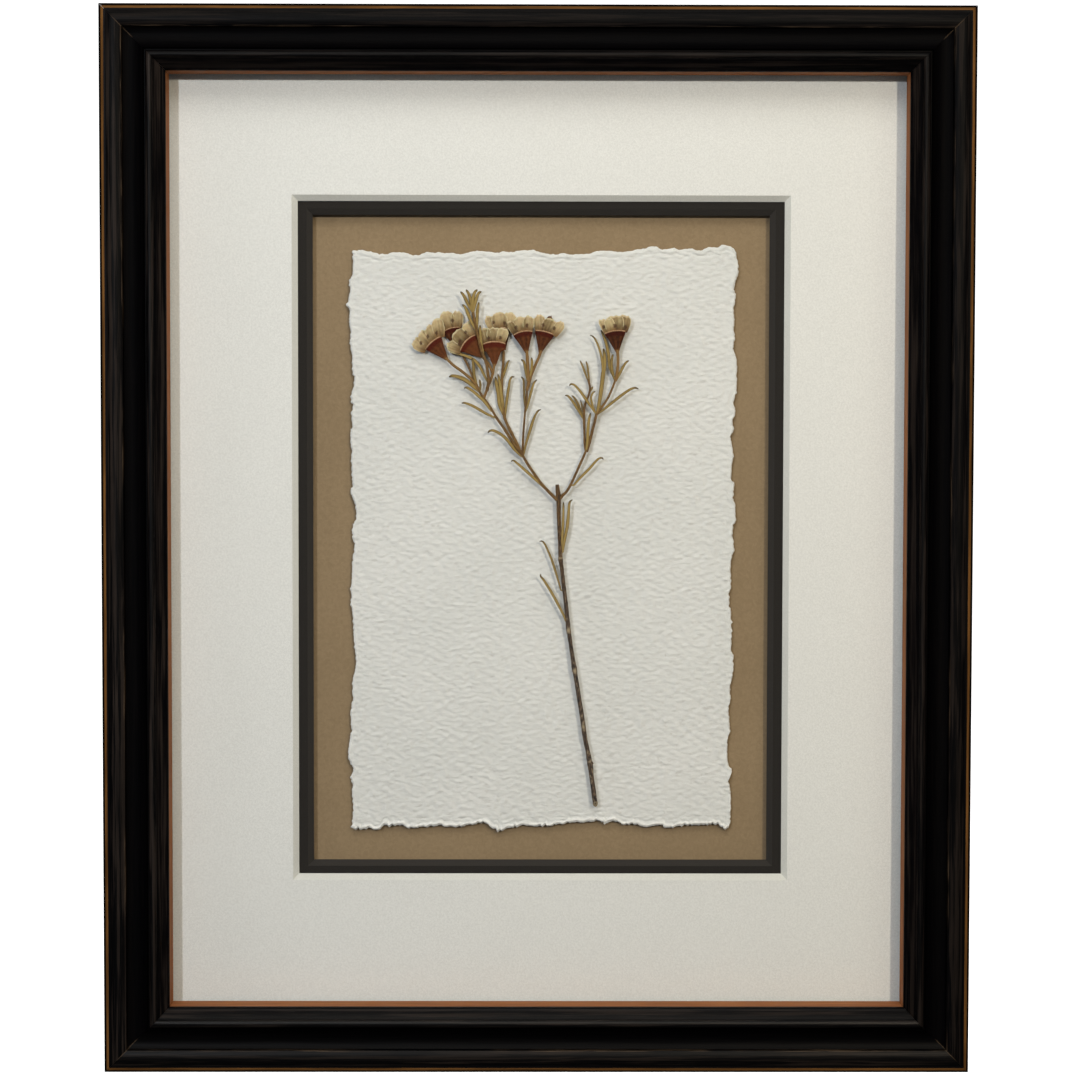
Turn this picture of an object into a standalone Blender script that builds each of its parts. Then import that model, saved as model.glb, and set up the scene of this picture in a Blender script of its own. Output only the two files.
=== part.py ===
"""Pressed flower frame: a dried waxflower sprig on a sheet of handmade paper, behind two window mats
and glass, in a narrow moulded picture frame that hangs on a wall.

The frame faces -Y, +X is to its right and +Z is up. The origin is at the middle of the bottom edge.
Depths are given as a height over the back of the frame, towards the viewer. The sheet's edge and the
sprig are traced: their places are pixels of the 1080 x 1080 photograph, which on_sheet() turns into
metres at a given height.
"""

import math

import bmesh
import bpy
from mathutils import Matrix, Vector

# Driving dimensions, in metres.
MM = 0.001
FRAME_WIDTH = 231.3 * MM
FRAME_HEIGHT = 283.7 * MM
BACK_Y = 12.1 * MM
MITRE_GAP = 0.21 * MM

# The moulding: how far in from the outer edge, and how high over the back.
RAIL_FACE = 17.4 * MM
REBATE_WALL = 13.85 * MM
REBATE_HEIGHT = 15.1 * MM
OUTER_EDGE = (0.0, 23.0 * MM)
BAND_START = (1.9 * MM, 24.6 * MM)
BAND_END = (6.1 * MM, 24.7 * MM)
COVE_START = (6.3 * MM, 23.0 * MM)
COVE_END = (11.7 * MM, 24.6 * MM)
QUIRK = ((11.95 * MM, 23.6 * MM), (12.25 * MM, 23.6 * MM))
BEAD_START = (12.4 * MM, 25.0 * MM)
BEAD_END = (14.5 * MM, 25.1 * MM)
NOSE_START = (16.7 * MM, 23.3 * MM)
NOSE_END = (RAIL_FACE, 22.2 * MM)

# What lies in the rebate, each as (rear, front) heights.
BOARD_WIDTH = 203.0 * MM
BOARD_HEIGHT = 255.4 * MM
TABS = (1.2 * MM, 1.7 * MM)
BACKING = (2.0 * MM, 4.5 * MM)
TAN_BOARD = (4.8 * MM, 6.3 * MM)
SPACERS = (6.6 * MM, 8.9 * MM)
DARK_MAT = (9.2 * MM, 10.7 * MM)
WHITE_MAT = (11.0 * MM, 12.5 * MM)
GLASS = (12.8 * MM, 14.8 * MM)
LIFT = (6.6 * MM, 7.4 * MM)
PAPER = (7.7 * MM, 8.4 * MM)

WINDOW_SHIFT = (0.92 * MM, 0.42 * MM)
WHITE_WINDOW_FRONT = (133.75 * MM, 184.7 * MM)
WHITE_WINDOW_REAR = (130.76 * MM, 181.6 * MM)
DARK_WINDOW_FRONT = (126.0 * MM, 177.6 * MM)
DARK_WINDOW_REAR = (123.0 * MM, 174.55 * MM)
SPACER_WIDTH = 12.0 * MM
LIFT_SIZE = (80.0 * MM, 130.0 * MM)
FIT_GAP = 0.3 * MM

TAB_SIZE = (9.0 * MM, 18.0 * MM)
TABS_ALONG = 150.0 * MM
TABS_ACROSS = 110.0 * MM

HANGER_WIDTH = 44.0 * MM
HANGER_HEIGHT = 10.0 * MM
HANGER_SHEET = 0.7 * MM
HANGER_RAISE = 0.6 * MM
HANGER_BRIDGE = 26.0 * MM
HANGER_MIDDLE = FRAME_HEIGHT - 6.9 * MM
TOOTH_PITCH = 2.6 * MM
TOOTH_DEPTH = 1.3 * MM
TOOTH_COUNT = 9
NAIL_SPACING = 38.0 * MM
NAIL_RADIUS = 0.6 * MM
NAIL_HEAD_RADIUS = 1.5 * MM
NAIL_HEAD = (-1.6 * MM, -1.3 * MM)
NAIL_POINT = 5.5 * MM
HOLE_RADIUS = 0.9 * MM
HOLE_DEPTH = 6.0 * MM

# The photograph's viewpoint, from the middle of the frame, and its focal length in pixels.
EYE_ACROSS = -3.63 * MM
EYE_UP = 33.04 * MM
EYE_HEIGHT = 722.8 * MM
EYE_PITCH = math.radians(-2.637)
EYE_YAW = math.radians(-0.349)
EYE_ROLL = math.radians(-0.086)
FOCAL_PIXELS = 2639.1
PHOTO_MIDDLE = 540.0
PIXEL = 0.266 * MM

# The sprig: how thick things are against their width, and how pieces stand clear of each other.
LEAF_DEPTH = 0.62
CUP_THICKNESS = 1.35 * MM
PETAL_THICKNESS = 0.9 * MM
BRANCH_SETBACK = 1.45 * MM
TWIG_SETBACK = 1.0 * MM
CUP_GAP = 0.55 * MM
PETAL_GAP = 0.4 * MM
ROOT_NUDGE = 0.07 * MM

# The torn sheet, in photograph pixels, clockwise from the top left corner.
PAPER_TOP = (
    (353, 250), (370, 251.5), (386, 254), (400, 252.3), (412, 255), (427, 252), (445, 253.5),
    (458, 254), (480, 250.8), (498, 252.8), (520, 250.5), (540, 252), (556, 254.5), (580, 254),
    (602, 250.5), (630, 251), (645, 248.5), (657, 246.7), (662, 249.5), (680, 249.8),
    (700, 250.5), (712, 246.8), (721, 244.5), (733, 248),
)
PAPER_RIGHT = (
    (737, 258), (738.5, 265), (738, 275), (734.5, 290), (736, 296), (733.5, 308), (734, 330),
    (733.5, 350), (737, 365), (736.5, 392), (733.5, 404), (735.8, 410), (732.5, 422), (733, 450),
    (731.5, 475), (734, 492), (736, 515), (732.8, 529), (734.5, 550), (730.8, 565), (729.5, 591),
    (732, 630), (733.5, 670), (730, 688), (728.5, 708), (730, 733), (727.5, 755), (731.5, 769),
    (728.5, 781), (731.2, 805), (729.5, 826),
)
PAPER_BOTTOM = (
    (724, 829.5), (710, 824.3), (690, 825), (668, 828), (648, 827.5), (633, 824.5), (611, 821.5),
    (600, 820.5), (583, 823), (565, 823.5), (550, 826), (530, 826.5), (515, 827.5), (503, 831),
    (491, 827.5), (480, 823), (466, 825.5), (450, 827), (425, 827), (409, 828.8), (400, 825),
    (385, 825.5), (376, 830), (356, 829.5),
)
PAPER_LEFT = (
    (352, 815), (352.5, 785), (353, 768), (348, 755), (351.3, 730), (353, 698), (352.2, 690),
    (356, 658), (354, 640), (350, 604), (351.5, 582), (353.5, 553), (352.3, 537), (355.8, 510),
    (350.2, 491), (352, 480), (350.5, 445), (352, 425), (351, 413), (350.5, 400), (354, 377),
    (352, 355), (350, 340), (349, 320), (346.5, 306), (350, 290), (348.5, 281), (352.5, 270),
    (352, 256),
)

# Each stalk and leaf is (traced places, width in pixels, heights over the paper in mm at its ends).
# A stalk runs from where it grows, a leaf from its tip to where it grows.
MAIN_STEM = (
    (
        (557.2, 484.5), (558.5, 498), (558.8, 515), (559.3, 530), (560, 545), (560.5, 558),
        (562, 570), (563.3, 582), (564.8, 595), (566.3, 608), (567.5, 620), (568.4, 629.5),
        (571.5, 650), (574.3, 669), (577, 685), (581, 710), (583.2, 725), (587.5, 750),
        (590, 764), (592.7, 785), (595.5, 806),
    ),
    4.5,
    (2.7, 2.6),
)
MAIN_LEAVES = (
    (((563.5, 502), (563.5, 510), (563, 525), (562, 540), (561, 555)), 2.7, (3.2, 2.8)),
    (
        ((572.5, 499.5), (569.5, 503), (568.5, 515), (567, 528), (564.5, 540), (562.5, 553)),
        3.2,
        (2.9, 2.7),
    ),
    (
        ((539.5, 542), (544.5, 543.5), (548.5, 552), (552.5, 562), (556, 573), (561, 591)),
        2.3,
        (2.5, 2.7),
    ),
    (((541, 574), (544, 580.5), (549.5, 589), (555, 598.5), (560, 608), (566, 622)), 2.8, (3.2, 2.7)),
)

LEFT_BRANCH = (
    ((558.4, 501), (554, 497), (548, 491), (540, 482), (533, 472), (527, 463), (522.5, 455)),
    3.0,
    (2.7, 2.4),
)
LEFT_BRANCH_LEAVES = (
    (((511, 461.5), (518, 464), (526, 471), (535, 479), (543, 486.5)), 2.7, (2.9, 2.5)),
    (((541, 409.5), (534.5, 417), (531, 427), (528, 437), (525.5, 446), (523.5, 455)), 2.8, (1.8, 2.4)),
    (((488, 433), (493, 430.5), (499, 433), (505.5, 438), (515, 450), (522, 457)), 3.0, (3.8, 2.4)),
)

MID_TWIG = (
    ((522.5, 455), (523, 440), (524, 425), (525.3, 409), (526.5, 400), (527, 390), (528, 381)),
    2.2,
    (2.4, 2.5),
)
MID_TWIG_STALKS = (
    (((527, 390), (529.5, 381), (531.5, 374), (535, 366), (538.5, 358), (540.5, 352.5)), 2.0, (2.5, 2.0)),
    (((528, 381), (528, 372), (527.5, 362), (527, 353)), 2.6, (2.5, 2.5)),
)
MID_TWIG_LEAVES = (
    (((521, 376.5), (524, 388), (524.5, 398), (525.3, 409)), 2.4, (2.0, 2.4)),
    (((537, 379.5), (532, 389), (530, 396), (528, 404), (525.5, 412)), 2.5, (2.9, 2.4)),
    (((521, 359.5), (524, 362), (525.5, 370), (527.5, 381)), 2.7, (2.9, 2.5)),
    (((531.5, 357.5), (532, 362), (531.5, 370), (529, 380)), 2.6, (3.0, 2.5)),
)

LEFT_TWIG_1 = (
    (
        (522, 455), (516, 447), (510, 438), (503, 427), (497, 418.5), (492, 410), (488, 404),
        (484.5, 399), (481, 394), (478, 389),
    ),
    2.7,
    (3.0, 2.1),
)
LEFT_TWIG_1_STALKS = (
    (((478, 389), (473, 381), (467, 375.5), (460, 370), (453, 365), (447.5, 359.5)), 2.0, (2.1, 2.1)),
    (((479, 390), (475, 381), (471.5, 374), (468, 366), (464, 358), (457, 347.5)), 1.8, (2.1, 0.9)),
    (((484, 398), (486.5, 391), (489, 384.5), (491, 379), (493, 373), (494.3, 367)), 2.2, (2.2, 2.4)),
    (((493, 374), (490.5, 368), (487, 362), (483, 357.5)), 2.8, (2.3, 2.4)),
)
LEFT_TWIG_1_LEAVES = (
    (((461.5, 403.2), (472, 405.5), (480, 410), (487, 414), (496, 418)), 2.7, (2.8, 2.5)),
    (((464, 388.5), (472, 390.5), (478, 395.5), (484, 401), (492, 412)), 3.0, (3.0, 2.4)),
    (((449, 377), (460, 377.5), (467, 381), (473, 386), (481, 393)), 4.0, (2.6, 2.1)),
    (((479.5, 379.5), (480.5, 385), (480, 391)), 2.2, (2.8, 2.1)),
    (((472, 358), (473.5, 366), (474, 374), (477, 386)), 3.0, (2.4, 2.1)),
    (
        ((450, 352.5), (457, 353.5), (466, 356), (474, 360), (480, 367), (484, 375), (489, 384)),
        3.0,
        (1.9, 2.2),
    ),
)

LEFT_TWIG_2 = (
    (
        (522, 455), (517, 444), (512, 434), (507.5, 425), (504.5, 417), (503, 404), (502, 392),
        (502, 379), (502.5, 372), (503.3, 362), (503.7, 351),
    ),
    2.4,
    (1.7, 0.9),
)
LEFT_TWIG_2_LEAVES = (
    (((514.5, 377), (510, 380), (507.5, 395), (505.8, 410), (505, 418)), 2.7, (1.9, 1.5)),
    (((498, 374), (500, 384), (501.5, 396), (504, 412)), 3.4, (1.9, 1.4)),
    (((495.5, 377), (496.5, 384), (498.5, 394), (499.5, 404), (503.5, 415)), 4.0, (1.5, 1.4)),
    (((509.5, 360), (507.5, 363), (505.5, 369), (502, 380)), 2.6, (1.4, 1.1)),
)

TOP_TWIG = (
    (
        (489, 382), (488, 374), (486, 362.7), (482, 352), (480.5, 346), (478.5, 338), (476, 328),
        (474.5, 320), (473, 312),
    ),
    2.0,
    (3.3, 3.75),
)
TOP_TWIG_LEAVES = (
    (((460.5, 291.5), (464, 296), (468, 304), (473, 313)), 2.5, (3.9, 3.75)),
    (((466, 289.5), (469.5, 296), (473, 313)), 2.5, (3.5, 3.75)),
    (((477.5, 289.5), (474.5, 293), (472.5, 302), (473, 313)), 3.0, (3.6, 3.75)),
    (((481.5, 291.5), (478, 294), (475, 304), (473, 313)), 2.5, (3.9, 3.75)),
    (((462, 304.5), (465, 307), (468.5, 315), (472, 323), (476, 329.5)), 2.7, (3.7, 3.7)),
    (((479, 302), (477.5, 310), (477, 322), (477, 331)), 2.3, (3.8, 3.7)),
    (((480, 325), (480.5, 335), (481.5, 345), (483.5, 355)), 2.5, (3.7, 3.6)),
)

RIGHT_BRANCH = (
    ((558.6, 501), (562, 496), (567, 491), (572, 482), (577, 471), (582, 460), (585.5, 452)),
    2.8,
    (2.7, 2.5),
)
RIGHT_BRANCH_LEAVES = (
    (((603.5, 459.5), (597, 460), (590, 468), (582, 476), (573, 484)), 2.6, (2.9, 2.6)),
    (((590.5, 413), (589, 420), (588, 430), (587.5, 440), (586, 452)), 3.2, (3.6, 2.7)),
)

RIGHT_TWIG_LEFT = (
    (
        (586, 452), (584.8, 444), (584.5, 432), (584, 420), (584.5, 408), (586.5, 400),
        (588.5, 396), (590, 388), (588, 379),
    ),
    2.5,
    (2.1, 1.7),
)
RIGHT_TWIG_LEFT_LEAVES = (
    (((565, 395.5), (572, 400.5), (576, 406.5), (580, 413), (584, 420)), 2.6, (2.2, 1.9)),
    (((571.5, 395.5), (577.5, 403), (580, 409), (584, 418)), 2.4, (1.4, 1.8)),
    (((580.5, 400), (582, 406), (584, 414)), 1.6, (1.7, 1.8)),
    (((580, 360.5), (582.5, 366), (585.5, 374), (588, 381)), 2.0, (2.2, 1.7)),
    (((586, 361), (587.5, 367), (589.5, 383)), 2.0, (1.5, 1.7)),
    (((593, 386.5), (591.5, 389), (589.5, 392)), 2.0, (1.9, 1.7)),
)

RIGHT_TWIG_RIGHT = (
    ((586.5, 452), (590, 440), (592.5, 430), (595, 421), (596.5, 413.5)),
    3.2,
    (2.3, 2.5),
)
RIGHT_TWIG_RIGHT_STALKS = (
    (((596, 415), (602, 407), (607, 399.5), (611, 391.5), (615.5, 380)), 1.9, (2.5, 2.4)),
    (((615.5, 381), (617, 374), (618, 362), (617.3, 353)), 2.2, (2.4, 2.6)),
)
RIGHT_TWIG_RIGHT_LEAVES = (
    (((569.5, 386), (575, 385.5), (584, 396.5), (588, 402.5), (596, 414)), 2.6, (3.5, 2.7)),
    (((595.5, 391), (591, 398), (592.5, 405), (596, 414)), 2.2, (2.9, 2.5)),
    (((603.5, 348.5), (604.5, 365), (603, 375), (600.5, 395), (597, 414)), 4.2, (2.4, 2.5)),
    (
        ((590, 335), (594, 337.5), (597.5, 344), (600, 351), (602, 360), (602.5, 376), (598.5, 405)),
        2.4,
        (2.7, 2.6),
    ),
    (((601, 330), (604, 337), (606.5, 345), (608.5, 355), (610, 368), (615.5, 381)), 3.0, (1.3, 2.4)),
    (((613, 354), (611.5, 362), (612, 370), (615, 381)), 3.0, (2.7, 2.4)),
    (((629, 360.5), (622.5, 368), (619.5, 374), (616, 381)), 2.6, (3.0, 2.4)),
    (((638.5, 389), (630, 389.5), (622, 395), (613, 402), (605, 408.5), (597, 414.5)), 2.8, (3.0, 2.5)),
)

# Each flower is (foot of the cup, the cup's rim, tips of the petals, height over the paper in mm).
FLOWERS = (
    ((447, 359.3), ((425.1, 349), (432, 341), (440.9, 336)),
     ((412, 341), (419, 331), (427, 326), (434, 319), (437.5, 319)), 2.1),
    ((455.5, 346), ((441.8, 333.8), (450, 328), (459.4, 325.5)),
     ((441, 317), (444.5, 311.5), (451, 315), (459, 312)), 0.85),
    ((482.5, 357), ((459.5, 350.5), (466, 340), (476, 334.7)),
     ((446.4, 344), (453.5, 333), (460, 326), (468, 322), (473, 323)), 2.4),
    ((494.5, 365.7), ((481.5, 344), (494, 341), (505.5, 343.5)),
     ((483, 328.5), (493, 328), (501, 328.5), (506, 329)), 2.4),
    ((504.5, 350), ((493.6, 327.5), (505, 327), (511, 334.5)),
     ((486, 315), (494, 314), (501, 312), (507, 315.5), (513, 313), (518, 317)), 0.85),
    ((526.8, 353), ((513.3, 335.5), (522, 331), (532.5, 330.3)),
     ((511, 321), (515, 318.5), (521, 317), (528, 315.5), (531.5, 318)), 2.4),
    ((540, 352.8), ((535.4, 329.7), (545, 331), (554.6, 335)),
     ((537.5, 317), (540.5, 315), (547, 318.5), (551, 316), (559, 321), (563.5, 323)), 1.9),
    ((617.4, 352.4), ((604.5, 333), (615, 330.2), (625.8, 331.3)),
     ((601, 320), (605, 319), (611, 317), (620, 316.5), (625, 316.5), (630.5, 318)), 2.7),
)

# Colours as they look in the photograph, 0 to 255.
BLACK_PAINT = (20, 17, 18)
GLASS_TINT = (235, 240, 238)
MAT_WHITE = (222, 221, 213)
MAT_DARK = (46, 42, 40)
TAN = (130, 110, 85)
SHEET_WHITE = (214, 215, 208)
HARDBOARD = (96, 68, 46)
SPACER_BLACK = (32, 31, 32)
STEEL = (150, 150, 152)
BARK = (96, 78, 64)
TWIG_BROWN = (100, 75, 50)
CUP_RED = (92, 41, 29)
PETAL_CREAM = (200, 186, 145)


def clear_scene():
    """Takes away whatever the file holds at the start."""
    for leftover in list(bpy.data.objects):
        bpy.data.objects.remove(leftover)


def new_collection(name):
    """Adds a collection to the scene."""
    collection = bpy.data.collections.new(name)
    bpy.context.scene.collection.children.link(collection)
    return collection


def linear(colour):
    """Turns a 0 to 255 display colour into linear values."""
    values = []
    for part in colour:
        level = part / 255.0
        values.append(level / 12.92 if level <= 0.04045 else ((level + 0.055) / 1.055) ** 2.4)
    return (*values, 1.0)


def finish(piece, colour, roughness, metallic=0.0, clear=False):
    """Gives a piece a Principled material of its own."""
    material = bpy.data.materials.new(piece.name + "_finish")
    material.use_nodes = True
    shader = material.node_tree.nodes["Principled BSDF"]
    shader.inputs["Base Color"].default_value = linear(colour)
    shader.inputs["Roughness"].default_value = roughness
    shader.inputs["Metallic"].default_value = metallic
    if clear:
        shader.inputs["Transmission Weight"].default_value = 1.0
        shader.inputs["IOR"].default_value = 1.52
    piece.data.materials.clear()
    piece.data.materials.append(material)
    piece.parent = whole
    return piece


def turned(piece, smooth_angle=35.0):
    """Shades a round piece smooth, with sharp edges where it turns."""
    piece.data.shade_smooth()
    piece.data.set_sharp_from_angle(angle=math.radians(smooth_angle))
    return piece


def link(name, data, collection=None):
    """Puts new object data in the scene under a name."""
    piece = bpy.data.objects.new(name, data)
    (collection or parts).objects.link(piece)
    return piece


def made_mesh(source):
    """Turns a curve, or an object with modifiers, into a plain mesh object with welded caps."""
    bpy.context.view_layer.update()
    evaluated = source.evaluated_get(bpy.context.evaluated_depsgraph_get())
    mesh = bpy.data.meshes.new_from_object(evaluated)
    shape = bmesh.new()
    shape.from_mesh(mesh)
    bmesh.ops.remove_doubles(shape, verts=shape.verts, dist=0.001 * MM)
    bmesh.ops.recalc_face_normals(shape, faces=shape.faces)
    shape.to_mesh(mesh)
    shape.free()
    name = source.name
    collection = source.users_collection[0]
    piece = link("made", mesh, collection)
    piece.matrix_world = source.matrix_world
    bpy.data.objects.remove(source)
    piece.name = name
    return piece


def outline_plate(name, outlines, thickness, collection=None):
    """A flat plate in local XY, cut to closed outlines, with its middle plane at local z = 0."""
    curve = bpy.data.curves.new(name, "CURVE")
    curve.dimensions = "2D"
    curve.fill_mode = "BOTH"
    curve.extrude = thickness / 2
    for outline in outlines:
        spline = curve.splines.new("POLY")
        spline.points.add(len(outline) - 1)
        for point, (across, up) in zip(spline.points, outline):
            point.co = (across, up, 0.0, 1.0)
        spline.use_cyclic_u = True
    return made_mesh(link(name, curve, collection))


def stand_up(piece, rear, front):
    """Turns a plate from local XY to face -Y, between two heights over the back."""
    piece.rotation_euler = (math.pi / 2, 0.0, 0.0)
    piece.location = (0.0, BACK_Y - (rear + front) / 2, 0.0)
    return piece


def slab(name, width, height, heights, middle):
    """A flat board that faces the viewer, centred on (x, z)."""
    rear, front = heights
    bpy.ops.mesh.primitive_cube_add(size=1.0)
    piece = bpy.context.object
    piece.name = name
    piece.data.transform(Matrix.Diagonal((width, front - rear, height, 1.0)))
    piece.location = (middle[0], BACK_Y - (rear + front) / 2, middle[1])
    for collection in piece.users_collection:
        collection.objects.unlink(piece)
    parts.objects.link(piece)
    return piece


def rectangle(width, height, middle):
    """Corners of a rectangle, anticlockwise."""
    half_width, half_height = width / 2, height / 2
    corners = ((-1, -1), (1, -1), (1, 1), (-1, 1))
    return [(middle[0] + a * half_width, middle[1] + b * half_height) for a, b in corners]


def arc_between(start, end, rise, steps):
    """Points after start up to end on a circular arc that rises over its chord to the left by rise."""
    start, end = Vector(start), Vector(end)
    chord = end - start
    half = chord.length / 2
    side = Vector((-chord.y, chord.x)).normalized()
    radius = (half * half + rise * rise) / (2 * abs(rise))
    toward = 1 if rise > 0 else -1
    centre = (start + end) / 2 + side * (rise - toward * radius)
    sweep = 2 * math.asin(min(1.0, half / radius))
    points = []
    for step in range(1, steps + 1):
        turn = Matrix.Rotation(-toward * sweep * step / steps, 2)
        points.append(tuple(centre + turn @ (start - centre)))
    return points


def moulding_profile():
    """The rail's section: outer bead and band, a cove, a quirk, a bead, and a slope to the round lip."""
    section = [(0.0, 0.0), OUTER_EDGE]
    section += arc_between(OUTER_EDGE, BAND_START, 0.62 * MM, 4)
    section += arc_between(BAND_START, BAND_END, 0.55 * MM, 4)
    section.append(COVE_START)
    section += arc_between(COVE_START, COVE_END, -1.2 * MM, 6)
    section += QUIRK
    section.append(BEAD_START)
    section += arc_between(BEAD_START, BEAD_END, 0.75 * MM, 4)
    section += arc_between(BEAD_END, NOSE_START, 0.1 * MM, 2)
    section += arc_between(NOSE_START, NOSE_END, 0.22 * MM, 3)
    section += [(RAIL_FACE, REBATE_HEIGHT), (REBATE_WALL, REBATE_HEIGHT), (REBATE_WALL, 0.0)]
    return section


def rail(name, length, inward, place):
    """A rail of the moulding, mitred at both ends, whose outer edge lies at place."""
    piece = outline_plate(name, [moulding_profile()], length)
    for vertex in piece.data.vertices:
        reach = length / 2 - vertex.co.x - MITRE_GAP
        vertex.co.z = math.copysign(reach, vertex.co.z)
    inward = Vector(inward)
    front = Vector((0.0, -1.0, 0.0))
    turn = Matrix((inward, front, inward.cross(front))).transposed()
    piece.matrix_world = Matrix.Translation((place[0], BACK_Y, place[1])) @ turn.to_4x4()
    return finish(turned(piece), BLACK_PAINT, 0.32)


def nail_holes(name, rear, front):
    """Cutters for the two nails of the hanger, from one height to another."""
    cutters_made = []
    for side in (-1, 1):
        bpy.ops.mesh.primitive_cylinder_add(
            vertices=16, radius=HOLE_RADIUS, depth=front - rear,
            location=(side * NAIL_SPACING / 2, BACK_Y - (rear + front) / 2, HANGER_MIDDLE),
            rotation=(math.pi / 2, 0.0, 0.0),
        )
        hole = bpy.context.object
        hole.name = "%s_%s" % (name, "left" if side < 0 else "right")
        cutters_made.append(as_cutter(hole))
    return cutters_made


def as_cutter(tool):
    """Keeps a cutter out of sight, in its own collection."""
    for collection in tool.users_collection:
        collection.objects.unlink(tool)
    cutters.objects.link(tool)
    tool.hide_render = True
    tool.display_type = "WIRE"
    return tool


def cut(piece, tool, operation="DIFFERENCE"):
    """Adds a Boolean to a piece."""
    boolean = piece.modifiers.new(tool.name, "BOOLEAN")
    boolean.operation = operation
    boolean.object = tool
    boolean.solver = "EXACT"
    boolean.use_self = operation == "UNION"


def window_mat(name, heights, window_front, window_rear, colour):
    """A mat board whose window is cut with a bevel that opens towards the viewer."""
    middle = (WINDOW_SHIFT[0], FRAME_HEIGHT / 2 + WINDOW_SHIFT[1])
    board = rectangle(BOARD_WIDTH, BOARD_HEIGHT, (0.0, FRAME_HEIGHT / 2))
    piece = outline_plate(
        name, [board, rectangle(*window_rear, middle)], heights[1] - heights[0]
    )
    reach = (window_rear[0] / 2 + FIT_GAP, window_rear[1] / 2 + FIT_GAP)
    for vertex in piece.data.vertices:
        across, up = vertex.co.x - middle[0], vertex.co.y - middle[1]
        if vertex.co.z > 0 and abs(across) < reach[0] and abs(up) < reach[1]:
            vertex.co.x = middle[0] + math.copysign(window_front[0] / 2, across)
            vertex.co.y = middle[1] + math.copysign(window_front[1] / 2, up)
    return finish(stand_up(piece, *heights), colour, 0.9)


def spacer_strips():
    """Four foam strips that hold the dark mat off the tan board."""
    tall = BOARD_HEIGHT - 2 * SPACER_WIDTH - 2 * FIT_GAP
    shift_x = (BOARD_WIDTH - SPACER_WIDTH) / 2
    shift_z = (BOARD_HEIGHT - SPACER_WIDTH) / 2
    middle = FRAME_HEIGHT / 2
    strips = (
        ("spacer_top", BOARD_WIDTH, SPACER_WIDTH, (0.0, middle + shift_z)),
        ("spacer_bottom", BOARD_WIDTH, SPACER_WIDTH, (0.0, middle - shift_z)),
        ("spacer_left", SPACER_WIDTH, tall, (-shift_x, middle)),
        ("spacer_right", SPACER_WIDTH, tall, (shift_x, middle)),
    )
    for name, width, height, place in strips:
        finish(slab(name, width, height, SPACERS, place), SPACER_BLACK, 0.9)


def tab_outline():
    """A fixing tab that points inward along +X, its end cut to a blunt point."""
    width, length = TAB_SIZE
    half = width / 2
    return [(0.0, -half), (length * 0.7, -half), (length, -half * 0.35), (length, half * 0.35),
            (length * 0.7, half), (0.0, half)]


def fixing_tabs():
    """Two steel tabs on each rail, behind the backing board."""
    middle = FRAME_HEIGHT / 2
    wall_x = FRAME_WIDTH / 2 - REBATE_WALL - FIT_GAP
    wall_z = FRAME_HEIGHT / 2 - REBATE_WALL - FIT_GAP
    half_along, half_across = TABS_ALONG / 2, TABS_ACROSS / 2
    tabs = (
        ("tab_left_low", -wall_x, middle - half_along, 0),
        ("tab_left_high", -wall_x, middle + half_along, 0),
        ("tab_right_low", wall_x, middle - half_along, 180),
        ("tab_right_high", wall_x, middle + half_along, 180),
        ("tab_bottom_left", -half_across, middle - wall_z, 90),
        ("tab_bottom_right", half_across, middle - wall_z, 90),
        ("tab_top_left", -half_across, middle + wall_z, -90),
        ("tab_top_right", half_across, middle + wall_z, -90),
    )
    depth = BACK_Y - sum(TABS) / 2
    for name, across, up, angle in tabs:
        tab = outline_plate(name, [tab_outline()], TABS[1] - TABS[0])
        upright = Matrix.Rotation(math.pi / 2, 4, "X") @ Matrix.Rotation(math.radians(angle), 4, "Z")
        tab.matrix_world = Matrix.Translation((across, depth, up)) @ upright
        finish(tab, STEEL, 0.35, 1.0)


def sawtooth_hanger():
    """A strip whose raised bridge has teeth along its lower edge, nailed at both ends."""
    ear = HANGER_WIDTH / 2
    bridge = HANGER_BRIDGE / 2
    slope = 2.0 * MM
    near, far = FIT_GAP, FIT_GAP + HANGER_SHEET
    strip = [
        (-ear, near), (-bridge - slope, near), (-bridge, near + HANGER_RAISE),
        (bridge, near + HANGER_RAISE), (bridge + slope, near), (ear, near),
        (ear, far), (bridge + slope, far), (bridge, far + HANGER_RAISE),
        (-bridge, far + HANGER_RAISE), (-bridge - slope, far), (-ear, far),
    ]
    hanger = outline_plate("sawtooth_hanger", [strip], HANGER_HEIGHT)
    hanger.location = (0.0, BACK_Y, HANGER_MIDDLE)

    foot = -HANGER_HEIGHT / 2
    teeth = []
    for index in range(TOOTH_COUNT):
        start = (index - TOOTH_COUNT / 2) * TOOTH_PITCH
        teeth += [(start, foot + 0.1 * MM), (start + TOOTH_PITCH / 2, foot + TOOTH_DEPTH)]
    last = TOOTH_COUNT / 2 * TOOTH_PITCH
    teeth += [(last, foot + 0.1 * MM), (last, foot - 2 * MM), (-last, foot - 2 * MM)]
    comb = outline_plate("teeth_cutter", [teeth], 8 * MM, cutters)
    comb.rotation_euler = (math.pi / 2, 0.0, 0.0)
    comb.location = (0.0, BACK_Y + HANGER_SHEET, HANGER_MIDDLE)
    cut(hanger, as_cutter(comb))
    for hole in nail_holes("ear_hole", -4 * MM, 0.1 * MM):
        cut(hanger, hole)
    finish(hanger, STEEL, 0.4, 1.0)


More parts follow.
